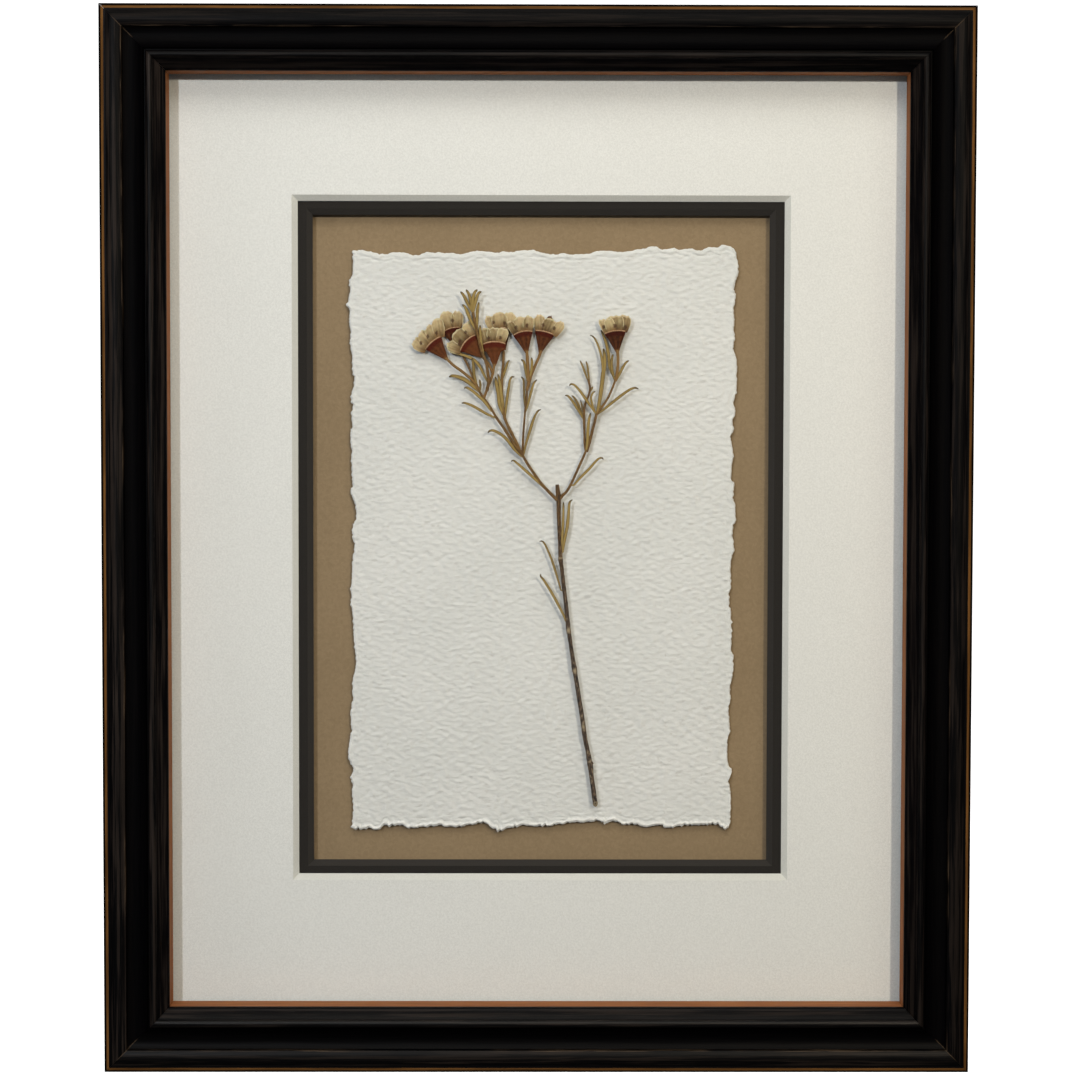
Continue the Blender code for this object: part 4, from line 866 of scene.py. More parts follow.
sprig = {
    "main_stem": {
        "stalk": (((557.2, 484.5, 0.8), (557.6, 490, 0.95), (558.5, 498, 1.1), (558.8, 515, 0.92),
            (559.3, 530, 0.88), (560, 545, 0.86), (560.4, 556, 0.98), (560.6, 560, 1.06),
            (562, 570, 0.86), (563.3, 582, 0.88), (564.8, 595, 0.9), (566.3, 608, 0.92),
            (567.5, 620, 0.94), (568.4, 629.5, 1.08), (570, 640, 0.92), (571.5, 650, 0.92),
            (573, 660, 1.0), (574.3, 669, 1.18), (575.2, 674, 1.02), (577, 685, 0.98),
            (579, 698, 0.98), (581, 710, 0.98), (583.2, 725, 1.08), (585, 738, 1.0),
            (587.5, 750, 1.02), (590, 764, 1.2), (591.2, 774, 1.04), (592.7, 785, 1.04),
            (594.2, 796, 1.08), (595.5, 806, 1.1)), 4.5, (2.7, 2.6), 0.5),
        "leaves": (
            (((563.5, 502), (563.5, 510), (563, 525), (562, 540), (561, 555)), 2.7, (3.2, 2.8), 0.75),
            (((572.5, 499.5), (569.5, 503), (568.5, 515), (567, 528), (564.5, 540), (562.5, 553)), 3.2,
             (2.9, 2.7), 0.8),
            (((539.5, 542), (541.5, 541), (544.5, 543.5), (548.5, 552), (552.5, 562), (556, 573),
             (559, 583), (561, 591)), 2.3, (2.5, 2.7), 0.55),
            (((541, 574), (540.5, 576), (544, 580.5), (549.5, 589), (555, 598.5), (560, 608),
             (564, 616), (566, 622)), 2.8, (3.2, 2.7), 0.65),
        ),
    },
    "left_branch": {
        "stalk": (((558.4, 501), (554, 497), (548, 491), (540, 482), (533, 472), (527, 463),
            (522.5, 455)), 3.0, (2.7, 2.4), 0.45),
        "leaves": (
            (((511, 461.5), (513.5, 460.5), (518, 464), (526, 471), (535, 479), (543, 486.5),
             (552, 496)), 2.7, (2.9, 2.5), 0.7),
            (((541, 409.5), (538, 411), (534.5, 417), (531, 427), (528, 437), (525.5, 446),
             (523.5, 455)), 2.8, (1.8, 2.4), 0.6),
            (((488, 433), (489.5, 431), (493, 430.5), (499, 433), (505.5, 438), (510.5, 444),
             (515, 450), (522, 457)), 3.0, (3.8, 2.4), 0.8),
        ),
    },
    "mid_twig": {
        "stalk": (((522.5, 455), (523, 440), (524, 425), (525.3, 409), (526.5, 400), (527, 390),
            (528, 381)), 2.2, (2.4, 2.5), 0.4),
        "stalks": (
            (((527, 390), (529.5, 381), (531.5, 374), (535, 366), (538.5, 358), (541.2, 350.5)), 3.1,
             (2.5, 2.0), 0.8),
            (((528, 381), (528, 372), (527.5, 362), (526.8, 350.5)), 3.4, (2.5, 2.5), 0.9),
        ),
        "leaves": (
            (((521, 376.5), (523.5, 380), (524, 388), (524.5, 398), (525.3, 409)), 2.4, (2.0, 2.4),
             0.1),
            (((537, 379.5), (534, 383), (532, 389), (530, 396), (528, 404), (525.5, 412)), 2.5,
             (2.9, 2.4), 0.7),
            (((521, 359.5), (524, 362), (525.5, 370), (527.5, 381)), 2.7, (2.9, 2.5), 0.65),
            (((531.5, 357.5), (532, 362), (531.5, 370), (529, 380)), 2.6, (3.0, 2.5), 0.7),
        ),
    },
    "left_twig_1": {
        "stalk": (((522, 455), (516, 447), (510, 438), (503, 427), (497, 418.5), (492, 410),
            (488, 404), (484.5, 399), (481, 394), (478, 389)), 2.7, (3.0, 2.1, 2.4), 0.45),
        "stalks": (
            (((478, 389), (473, 381), (467, 375.5), (460, 370), (453, 365), (445.8, 357.8)), 3.0,
             (2.1, 2.1), 0.8),
            (((479, 390), (475, 381), (471.5, 374), (468, 366), (464, 358), (457, 347.5)), 2.3,
             (2.1, 0.9), 0.4),
            (((484, 398), (486.5, 391), (489, 384.5), (491, 379), (493, 373), (494.4, 364)), 2.8,
             (2.2, 2.4), 0.8),
            (((493, 374), (490.5, 368), (487, 362), (483, 357.5)), 2.8, (2.3, 2.4), 0.7),
        ),
        "leaves": (
            (((461.5, 403.2), (465, 403), (472, 405.5), (480, 410), (487, 414), (496, 418)), 2.7,
             (2.8, 2.5), 0.7),
            (((464, 388.5), (466.5, 387.5), (472, 390.5), (478, 395.5), (484, 401), (492, 412)), 3.0,
             (3.0, 2.4), 0.75),
            (((449, 377), (453, 375.8), (460, 377.5), (467, 381), (473, 386), (481, 393)), 4.0,
             (2.6, 2.1), 0.75),
            (((479.5, 379.5), (480.5, 385), (480, 391)), 2.2, (2.8, 2.1), 0.5),
            (((472, 358), (473.5, 366), (474, 374), (477, 386)), 3.0, (2.4, 2.1), 0.6),
            (((450, 352.5), (457, 353.5), (466, 356), (474, 360), (480, 367), (484, 375), (489, 384)),
             3.0, (1.9, 2.2), 0.8),
        ),
    },
    "left_twig_2": {
        "stalk": (((522, 455), (517, 444), (512, 434), (507.5, 425), (504.5, 417), (503, 404),
            (502, 392), (502, 379), (502.5, 372), (503.3, 362), (503.7, 351)), 2.9, (1.7, 0.9, 2.4),
            0.6),
        "leaves": (
            (((514.5, 377), (512, 377), (510, 380), (508.8, 387), (507.5, 395), (505.8, 410),
             (505, 418)), 2.7, (1.9, 1.5), 0.6),
            (((498, 374), (500, 384), (501.5, 396), (504, 412)), 3.4, (1.9, 1.4), 0.8),
            (((495.5, 377), (496.5, 384), (498.5, 394), (499.5, 404), (503.5, 415)), 4.0, (1.5, 1.4),
             0.75),
            (((509.5, 360), (507.5, 363), (505.5, 369), (502, 380)), 2.6, (1.4, 1.1), 0.6),
        ),
    },
    "top_twig": {
        "stalk": (((486.8, 391), (488.6, 382), (488, 374), (486, 362.7), (482, 352), (480.5, 346),
            (478.5, 338), (476, 328), (474.5, 320), (473, 312)), 3.0, (3.3, 3.75, 2.4), 0.5),
        "leaves": (
            (((460.5, 291.5), (464, 296), (468, 304), (473, 313)), 3.1, (3.9, 3.75), 0.7),
            (((466, 289.5), (469.5, 296), (473, 313)), 3.3, (3.5, 3.75), 0.6),
            (((477.5, 289.5), (474.5, 293), (472.5, 302), (473, 313)), 3.4, (3.6, 3.75), 0.7),
            (((481.5, 291.5), (478, 294), (475, 304), (473, 313)), 3.1, (3.9, 3.75), 0.75),
            (((462, 304.5), (465, 307), (468.5, 315), (472, 323), (476, 329.5)), 3.2, (3.7, 3.7), 0.7),
            (((479, 302), (477.5, 310), (477, 322), (477, 331)), 3.2, (3.8, 3.7), 0.6),
            (((480, 325), (480.5, 335), (481.5, 345), (483.5, 355)), 3.2, (3.7, 3.6), 0.65),
        ),
    },
    "right_branch": {
        "stalk": (((558.6, 501), (562, 496), (567, 491), (572, 482), (577, 471), (582, 460),
            (585.5, 452)), 2.8, (2.7, 2.5), 0.45),
        "leaves": (
            (((603.5, 459.5), (601.5, 457.8), (597, 460), (590, 468), (582, 476), (573, 486)), 2.6,
             (2.9, 2.6), 0.7),
            (((590.5, 413), (589, 420), (588, 430), (587.5, 440), (586, 452)), 3.2, (3.6, 2.7), 0.95),
        ),
    },
    "right_twig_left": {
        "stalk": (((586, 452), (584.8, 444), (584.5, 432), (584, 420), (584.5, 408), (586.5, 400),
            (588.5, 396), (590, 388), (588, 379)), 2.5, (2.1, 1.7, 2.5), 0.4),
        "leaves": (
            (((565, 395.5), (568, 396), (572, 400.5), (576, 406.5), (580, 413), (584, 420)), 2.6,
             (2.2, 1.9), 0.6),
            (((571.5, 395.5), (574, 397.5), (577.5, 403), (580, 409), (584, 418)), 2.4, (1.4, 1.8),
             0.4),
            (((580.5, 400), (582, 406), (584, 414)), 1.6, (1.7, 1.8), 0.1),
            (((580, 360.5), (582.5, 366), (585.5, 374), (588, 381)), 2.0, (2.2, 1.7), 0.5),
            (((586, 361), (587.5, 367), (589.5, 383)), 2.0, (1.5, 1.7), 0.5),
            (((593, 386.5), (591.5, 389), (589.5, 392)), 2.0, (1.9, 1.7), 0.4),
        ),
    },
    "right_twig_right": {
        "stalk": (((586.5, 452), (590, 440), (592.5, 430), (595, 421), (596.5, 413.5)), 3.2,
            (2.3, 2.5, 2.5), 0.45),
        "stalks": (
            (((596, 415), (602, 407), (607, 399.5), (611, 391.5), (615.5, 380)), 2.4, (2.5, 2.4), 0.6),
            (((615.5, 381), (617, 374), (618, 362), (617.4, 350)), 3.2, (2.4, 2.6), 0.9),
        ),
        "leaves": (
            (((569.5, 386), (571, 384), (575, 385.5), (580, 391), (584, 396.5), (588, 402.5),
             (596, 414)), 2.6, (3.5, 2.7), 0.75),
            (((595.5, 391), (592.5, 393.5), (591, 398), (592.5, 405), (596, 414)), 2.2, (2.9, 2.5),
             0.6),
            (((603.5, 348.5), (604.5, 356), (604.5, 365), (603, 375), (600.5, 395), (597, 414)), 4.2,
             (2.4, 2.5), 0.8),
            (((590, 335), (594, 337.5), (597.5, 344), (600, 351), (602, 360), (602.5, 376),
             (598.5, 405)), 2.4, (2.7, 2.6), 0.7),
            (((601, 330), (604, 337), (606.5, 345), (608.5, 355), (610, 368), (615.5, 381)), 3.0,
             (1.3, 2.4), 0.6),
            (((613, 354), (611.5, 362), (612, 370), (615, 381)), 3.0, (2.7, 2.4), 0.6),
            (((629, 360.5), (626, 362.5), (622.5, 368), (619.5, 374), (616, 381)), 2.6, (3.0, 2.4),
             0.7),
            (((638.5, 389), (635, 387.8), (630, 389.5), (622, 395), (613, 402), (605, 408.5),
             (597, 414.5)), 2.8, (3.0, 2.5), 0.7),
        ),
    },
}
oldWood = {
    "sides": 20,
    "roughness": 0.2,
    "scars": ((568.4, 630.5), (574.8, 671), (583.4, 726.5)),
    "scarLift": 3.3,
    "scarSize": 0.55 * mm,
    "scarHeight": 0.12 * mm,
    "joint": (560.5, 558),
    "jointHeight": 11 * mm,
    "jointSize": 0.3 * mm,
    "nubs": (((590, 764), (587.3, 764.5)), ((590, 764), (592.9, 762.5))),
    "nubWidth": 3.4,
    "cutShare": 0.015,
    "cutHinge": 0.45 * mm,
    "cutLean": 1.4,
}
leafSection = (
    (-1.0, 0.0), (-0.82, 0.4), (-0.5, 0.62), (-0.2, 0.42), (0.0, 0.34), (0.2, 0.42), (0.5, 0.62),
    (0.82, 0.4), (1.0, 0.0), (0.6, -0.5), (0.0, -0.66), (-0.6, -0.5),
)
detail = {"step": 0.25 * mm, "stalkSides": 12, "barkDepth": 0.05}
luck = np.random.RandomState(11)


def raised(traced, lifts):
    # the traced line in space: its lift runs evenly along it, and starts from a third one if there is any
    line = smoothLine(traced, 8)
    flat = onSheet(line[:, :2], sheet["front"] * mm)
    run = lengthAlong(flat)
    share = run / run[-1]
    lift = lifts[0] + (lifts[1] - lifts[0]) * share
    if len(lifts) > 2:
        lift += (lifts[2] - lifts[0]) * np.exp(-(run / (1.6 * mm)) ** 2)
    points = onSheet(line[:, :2], (sheet["front"] + lift) * mm)
    count = max(6, int(lengthAlong(points)[-1] / detail["step"]))
    return evenly(np.column_stack([points, line[:, 2:]]), count)


def nearestOn(axes, place):
    every = np.vstack(axes)[:, :3]
    return every[np.argmin(np.linalg.norm(every - place, axis=1))]


def addStalk(heap, line, width, tone, knots=0.1):
    # a round stalk, thinner towards its end, with the small swellings of old leaf joints
    points = line[:, :3]
    share = lengthAlong(points) / lengthAlong(points)[-1]
    radius = width * pixel / 2 * (1.05 - 0.15 * share)
    if line.shape[1] > 3:
        radius = width * pixel / 2 * line[:, 3]
    seed = luck.uniform(0, 50)
    beat = np.array([noise.noise(Vector((step * 420, seed, 0.0))) for step in lengthAlong(points)])
    radius = radius * (1 + knots * np.clip(beat, -0.2, 1.0))
    section = ring(detail["stalkSides"])
    mesh, faces = sweep(points, radius, radius, section)
    centre = np.repeat(points, len(section), axis=0)
    rough = roughness(mesh * (1, 1, 0.35), 3600, seed)
    mesh = centre + (mesh - centre) * (1 + detail["barkDepth"] * rough)[:, None]
    heap.add(mesh, faces, along=np.repeat(share, len(section)), wood=1.0, tone=tone, side=0.5)


def addLeaf(heap, line, width, tone):
    # a channelled needle leaf, from where it grows to its dark hooked tip
    points = line[:, :3]
    share = lengthAlong(points) / lengthAlong(points)[-1]
    shape = 0.5 + 0.56 * np.sin(np.pi * (0.05 + 0.85 * share))
    shape *= np.sqrt(np.clip(1.02 - (np.clip(share - 0.9, 0, 1) / 0.1) ** 2 * 0.9, 0.05, 1))
    half = width * pixel / 2 * shape
    seed = luck.uniform(0, 50)
    wave = np.array([noise.noise(Vector((step * 300, seed, 3.0))) for step in lengthAlong(points)])
    half = half * (1 + 0.1 * wave)
    mesh, faces = sweep(points, half, half * 0.85, leafSection)
    side = np.tile(np.abs([place[0] for place in leafSection]), len(points))
    mesh[:, 1] -= roughness(mesh, 2600, seed) * 0.03 * mm
    tone += 0.12 * luck.uniform(-1, 1)
    heap.add(mesh, faces, along=np.repeat(share, len(leafSection)), side=side, tone=tone)


def buildShoot(node, shoot, material):
    # one piece: its stalk, the side stalks that start on it, and the leaves, each from its nearest stalk
    heap = Heap()
    traced, width, lifts, tone = shoot["stalk"]
    axes = [raised(traced, lifts)]
    if node == "main_stem":
        addStem(heap, axes[0], width, tone)
    else:
        addStalk(heap, axes[0], width, tone, 0.16)
    for traced, width, lifts, tone in shoot.get("stalks", ()):
        line = raised(traced, lifts)
        line[0, :3] = nearestOn(axes, line[0, :3])
        axes.append(line)
        addStalk(heap, line, width, tone)
    for traced, width, lifts, tone in shoot["leaves"]:
        root = nearestOn(axes, raised(traced[-2:], lifts)[-1, :3])
        line = raised(traced, lifts)[::-1]
        line = np.vstack([np.concatenate([root, line[0, 3:]]), line[1:]])
        addLeaf(heap, evenly(line, len(line)), width, tone)
    heap.build(node + "_dried", material, node, sharp=70)


def addStem(heap, line, width, tone):
    # the old wood: rough bark, pale scars where leaves fell, and a slanting cut at its foot
    points = line[:, :3]
    sides = oldWood["sides"]
    radius = width * pixel / 2 * line[:, 3]
    mesh, faces = sweep(points, radius, radius, ring(sides))
    centre = np.repeat(points, sides, axis=0)
    rough = roughness(mesh * (1, 1, 0.22), 2600, 4.0) * 0.6
    rough += roughness(mesh * (1, 1, 0.5), 6500, 9.0) * 0.4
    mesh = centre + (mesh - centre) * (1 + oldWood["roughness"] * rough)[:, None]
    share = lengthAlong(points) / lengthAlong(points)[-1]
    foot = np.clip((share - 1 + oldWood["cutShare"]) / oldWood["cutShare"], 0, 1)
    lean = np.repeat(foot, sides) * (mesh[:, 1] - centre[:, 1] - oldWood["cutHinge"])
    mesh[:, 2] -= lean * oldWood["cutLean"]
    scar = np.zeros(len(mesh))
    for place in oldWood["scars"]:
        spot = onSheet([place], (sheet["front"] + oldWood["scarLift"]) * mm)[0]
        away = np.linalg.norm((mesh - spot) * (1.0, 0.35, 0.7), axis=1) / oldWood["scarSize"]
        scar = np.maximum(scar, np.clip(1.3 - away, 0, 1))
        mesh[:, 1] += np.clip(1 - away, 0, 1) * oldWood["scarHeight"]
    joint = onSheet([oldWood["joint"]], oldWood["jointHeight"])[0, 2]
    nearJoint = 1.2 - np.abs(mesh[:, 2] - joint) / oldWood["jointSize"]
    scar = np.maximum(scar, np.clip(nearJoint, 0, 1) * 0.8)
    faces = faces[:-2] + [faces[-2]]
    heap.add(mesh, faces, along=np.repeat(1 - share, sides), wood=1.0, scar=scar, tone=tone)
    # the cut's own face: bark, pale wood and the pith in its middle
    end = mesh[-sides:]
    middle = end.mean(axis=0)
    rings = [middle + (end - middle) * size for size in (1.0, 0.97, 0.3, 0.12)]
    cut = gridFaces(len(rings), sides, loop=True)
    cut.append(tuple(range((len(rings) - 1) * sides, len(rings) * sides)))
    heap.add(np.vstack(rings), cut, along=0.0, wood=1.0, scar=np.repeat([0.0, 1.0, 0.9, 0.0], sides),
             pith=np.repeat([0.0, 0.0, 0.0, 1.0], sides))
    for start, finish in oldWood["nubs"]:
        middle = ((start[0] + finish[0]) / 2, (start[1] + finish[1]) / 2)
        addStalk(heap, raised((start, middle, finish), (2.65, 2.7)), oldWood["nubWidth"], 0.3, 0.0)


barkMaterial, leafMaterial = barkFinish(), leafFinish()
for node, shoot in sprig.items():
    woody = node == "main_stem"
    buildShoot(node, shoot, barkMaterial if woody else leafMaterial)
print("sprig grown")

# Flowers: the cup's foot and rim, the petals' tips and widths and the throat spots, in photo pixels, and
# the lift over the paper in mm. A fourth value of a petal makes it brown.

flowers = (
    {"foot": (447, 359.3), "rim": ((425.1, 349), (432, 341), (440.9, 336)),
     "lift": 2.1, "tone": 0.7, "bright": 0.5,
     "petals": ((413, 340.5, 12), (420.5, 331.5, 13), (428.5, 325.5, 12), (436, 318, 11)),
     "spots": ((428, 336.5), (421, 343), (436.5, 333))},
    {"foot": (455.5, 346), "rim": ((441.8, 333.8), (450, 328), (459.4, 325.5)),
     "lift": 0.85, "tone": 0.4,
     "petals": ((451.5, 315.5, 9), (445, 311.5, 13), (457.5, 311, 11)),
     "spots": ((443.5, 326), (452.5, 320.5))},
    {"foot": (482.5, 357), "rim": ((459.5, 350.5), (466, 340), (476, 334.7)),
     "lift": 2.4, "tone": 0.95,
     "petals": ((447, 344.5, 11), (467, 322, 15), (454.5, 332, 14)),
     "spots": ((465.7, 332.5), (460, 341.4), (459.5, 344.4))},
    {"foot": (494.5, 365.7), "rim": ((481.5, 344), (494, 341), (505.5, 343.5)),
     "lift": 2.4, "tone": 0.85, "rounding": 0.1,
     "outline": (
         (0.1, 0.2), (0.3, 0.36), (0.5, 0.52), (0.61, 0.63), (0.67, 0.9), (0.8, 0.97), (1.0, 0.98),
     ),
     "petals": ((484, 328.5, 10), (494.5, 327.5, 14), (504, 328.5, 10)),
     "spots": ((488.6, 338), (500.5, 338))},
    # this crown's high bright value is painted light: it lifts the petals that lie low behind the crowns
    # beside it, in their shadow
    {"foot": (504.5, 350), "rim": ((493.6, 327.5), (505, 327), (511, 334.5)),
     "lift": 0.85, "tone": 0.4, "bright": 0.95,
     "petals": ((487, 316, 9), (510.5, 312.5, 13), (498, 312, 14)),
     "spots": ((493.5, 322.5), (504.5, 323))},
    {"foot": (526.8, 353), "rim": ((513.3, 335.5), (522, 331), (532.5, 330.3)),
     "lift": 2.4, "tone": 0.55, "bright": 0.4,
     "petals": ((519.5, 316.5, 13), (509, 321.5, 7), (529, 315.5, 10)),
     "spots": ((516, 327.5), (527, 325.6))},
    {"foot": (540, 352.8), "rim": ((535.4, 329.7), (545, 331), (554.6, 335)),
     "lift": 1.9, "tone": 0.5,
     "petals": ((550.5, 316, 7, 1.0), (539.5, 314.5, 10), (551.5, 319, 13), (562.5, 322, 9)),
     "spots": ((543, 325), (554, 328))},
    {"foot": (617.4, 352.4), "rim": ((604.5, 333), (615, 330.2), (625.8, 331.3)),
     "lift": 2.7, "tone": 0.28, "rounding": 0.08,
     "petals": ((601, 319.5, 7), (625.5, 315.8, 12), (615, 315.8, 15), (608, 318.5, 9)),
     "spots": ((603.8, 327), (614.8, 326), (625.5, 327))},
)
cupShape = {
    "halfDepth": 0.68 * mm,
    "footHalf": 0.4 * mm,
    "ribs": 9,
    "ribDepth": 0.025,
    "around": 66,
    "rows": 30,
}
petalShape = {
    "across": 25,
    "along": 21,
    "thickness": 0.11 * mm,
    "ruffle": 0.2 * mm,
    "curl": 0.2 * mm,
    "arch": 0.2 * mm,
    "order": 0.14 * mm,
    "collar": 2.3 * mm,
    "broad": 1.15,
    "spotSize": 0.4 * mm,
}
cupOutline = (
    (0.1, 0.23), (0.25, 0.36), (0.45, 0.54), (0.65, 0.73), (0.85, 0.92), (0.95, 0.99), (1.0, 0.98),
)


def flowerFrame(flower):
    # where a cup stands: foot, axis, across, half its rim's width, its length, how far the rim bows out
    height = (sheet["front"] + flower["lift"]) * mm
    foot, left, top, right = onSheet((flower["foot"],) + flower["rim"], height)
    middle = (left + right) / 2
    axis = (middle - foot) / np.linalg.norm(middle - foot)
    across = np.cross(axis, (0.0, 1.0, 0.0))
    halfWidth = abs((right - left) @ across) / 2
    bow = max(0.2 * mm, (top - middle) @ axis)
    return foot, axis, across, halfWidth, np.linalg.norm(middle - foot), bow


def buildCup(node, flower, material):
    # a flattened, ribbed cone from the foot up to the bowed rim, with a small lip turned in
    foot, axis, across, halfWidth, length, bow = flowerFrame(flower)
    outline = smoothLine(((0.0, cupShape["footHalf"] / halfWidth), *flower.get("outline", cupOutline)), 5)
    rows, around = cupShape["rows"], cupShape["around"]
    share = np.linspace(0, 1, rows) ** 0.9
    half = np.interp(share, outline[:, 0], outline[:, 1]) * halfWidth
    turn = np.linspace(0, 2 * np.pi, around, endpoint=False)
    seed = luck.uniform(0, 40)
    spread = np.sign(np.cos(turn)) * np.abs(np.cos(turn)) ** 0.9
    rib = np.cos(cupShape["ribs"] * turn + seed)
    grow = share[:, None] * 0.9 + 0.1
    swell = 1 + cupShape["ribDepth"] * rib[None] * np.sin(np.pi * np.clip(grow, 0, 0.9))
    x = half[:, None] * spread[None] * (1 + 0.01 * rib[None])
    depth = cupShape["halfDepth"] * half / halfWidth * (0.55 + 0.45 * share)
    y = depth[:, None] * np.sin(turn)[None] * swell
    z = share[:, None] * length + bow * (1 - (x / halfWidth) ** 2) * share[:, None] ** 2
    lip = np.clip((share - 0.93) / 0.07, 0, 1)[:, None]
    y = y * (1 + 0.16 * np.sin(np.pi * lip))
    toward = np.array((0.0, -1.0, 0.0))
    points = foot + x[..., None] * across + z[..., None] * axis + y[..., None] * toward
    inner = points[-1:] * 0.82 + points[-1:].mean(axis=1, keepdims=True) * 0.18 - axis * 0.15 * mm
    points = np.concatenate([points, inner])
    rise = np.append(share, 1.0)
    faces = gridFaces(rows + 1, around, loop=True)
    faces += [tuple(range(around - 1, -1, -1)), tuple(range(rows * around, (rows + 1) * around))]
    points = points.reshape(-1, 3)
    points[:, 1] += roughness(points, 2600, seed) * 0.035 * mm
    heap = Heap()
    heap.add(points, faces, along=np.repeat(rise, around), rib=np.tile((rib + 1) / 2, rows + 1),
             tone=flower["tone"], rim=np.repeat(np.clip((rise - 0.955) / 0.02, 0, 1), around))
    heap.build(node + "_dried", material, node, sharp=75)


def addPapery(heap, grid, height, **values):
    # a thin papery sheet with a front, a back and a closed rim, from a grid of places
    rows, columns = height.shape
    front = (grid - np.array((0.0, 1.0, 0.0)) * height[..., None]).reshape(-1, 3)
    back = front + np.array((0.0, petalShape["thickness"], 0.0))
    count = len(front)
    quads = gridFaces(rows, columns)
    rim = rimOf(rows, columns)
    faces = [face[::-1] for face in quads] + [tuple(index + count for index in face) for face in quads]
    faces += [(a, b, b + count, a + count) for a, b in zip(rim, rim[1:] + rim[:1])]
    for name, value in values.items():
        values[name] = np.tile(np.broadcast_to(value, height.shape).ravel(), 2)
    heap.add(np.vstack([front, back]), faces, **values)


def noiseGrid(first, second, seed):
    flat = [noise.noise(Vector((a, b, seed))) for a, b in zip(first.ravel(), second.ravel())]
    return np.array(flat).reshape(first.shape)


def spotted(grid, spots):
    # the small dark throats between the petals
    spot = np.zeros(grid.shape[:2])
    for place in spots:
        away = np.linalg.norm((grid - place)[..., (0, 2)] * (1.0, 0.75), axis=-1) / petalShape["spotSize"]
        away = away * (1 + 0.5 * noiseGrid(grid[..., 0] * 2200, grid[..., 2] * 2200, 3.0))
        spot = np.maximum(spot, np.clip(1.5 - away, 0, 1))
    return spot


def addPetal(heap, flowerPlace, tip, width, order, brown, spots, rounding, bright):
    # a broad petal that comes out of the rim and ends in a blunt, ruffled margin
    foot, axis, across, halfWidth, length, bow = flowerPlace
    reach = tip - foot
    slant = (reach @ across) / (reach @ axis)
    share = float(np.clip(slant * length / halfWidth, -0.86, 0.86))
    base = foot + across * halfWidth * share + axis * (length + bow * (1 - share * share) - 0.4 * mm)
    grow = tip - base
    run = np.linalg.norm(grow)
    grow = grow / run
    sideways = np.cross(grow, (0.0, 1.0, 0.0))
    u, v = np.meshgrid(np.linspace(-1, 1, petalShape["across"]), np.linspace(0, 1, petalShape["along"]))
    seed = luck.uniform(0, 60)
    opened = 0.72 + 0.28 * np.sin(np.pi / 2 * np.clip(v / 0.6, 0, 1))
    opened -= 0.16 * (np.clip(v - 0.65, 0, 1) / 0.35) ** 2
    half = width * petalShape["broad"] * pixel / 2 * opened
    half *= 1 + 0.06 * noiseGrid(v * 3, np.sign(u) * 4, seed)
    crease = noiseGrid(u * 3.4 + v * 0.4, v * 1.2, seed)
    wave = noiseGrid(u * 1.9, v * 2.0, seed + 9)
    scallop = noiseGrid(u * 2.4, 0 * v, seed + 4)
    far = v * (1 + 0.09 * scallop * v - rounding * np.abs(u) ** 2.6 * v * v)
    height = petalShape["ruffle"] * (wave * (0.3 + v) + crease * 0.2)
    height += petalShape["curl"] * (v ** 4 + 0.3 * u ** 4 * v) + petalShape["arch"] * np.sin(np.pi * v)
    height += petalShape["order"] * (order - 1)
    grid = base + grow * (far * run)[..., None] + sideways * (u * half)[..., None]
    addPapery(heap, grid, height, along=v, side=np.abs(u), fold=crease + 0.5, spot=spotted(grid, spots),
              tone=bright + 0.4 * luck.uniform(-1, 1), brown=brown, throat=0.0)


def addCollar(heap, flowerPlace, spots):
    # the low brown collar that joins the petals behind their narrow feet
    foot, axis, across, halfWidth, length, bow = flowerPlace
    u, v = np.meshgrid(np.linspace(-0.97, 0.97, 41), np.linspace(0, 1, 9))
    seed = luck.uniform(0, 60)
    crease = noiseGrid(u * 7.0, v, seed)
    out = length + bow * (1 - u * u) - 0.3 * mm + petalShape["collar"] * v * (1 + 0.15 * crease)
    grid = foot + across * (halfWidth * u * (1 + 0.16 * v))[..., None] + axis * out[..., None]
    height = 0.12 * mm * crease - 0.1 * mm
    addPapery(heap, grid, height, along=0.3 + 0.3 * v, side=0.0, fold=crease + 0.5, tone=0.4,
              spot=spotted(grid, spots), brown=0.0, throat=0.8 * np.clip(1 - 2 * v, 0, 1))


def buildPetals(node, flower, material):
    # one crown: the collar and each petal, the later ones in front
    flowerPlace = flowerFrame(flower)
    height = (sheet["front"] + flower["lift"]) * mm
    spots = onSheet(flower["spots"], height)
    heap = Heap()
    addCollar(heap, flowerPlace, spots)
    for order, (px, py, width, *brown) in enumerate(flower["petals"]):
        tip = onSheet([(px, py)], height)[0]
        addPetal(heap, flowerPlace, tip, width, order, sum(brown), spots,
                 flower.get("rounding", 0.2), flower.get("bright", 0.5))
    heap.build(node + "_dried", material, node, sharp=75)


cupMaterial, petalMaterial = cupFinish(), petalFinish()
for number, flower in enumerate(flowers, start=1):
    buildCup("flower_cup_%d" % number, flower, cupMaterial)
    buildPetals("flower_petals_%d" % number, flower, petalMaterial)
print("flowers opened")

# Room: a pale floor, two small lamps and four soft lights.

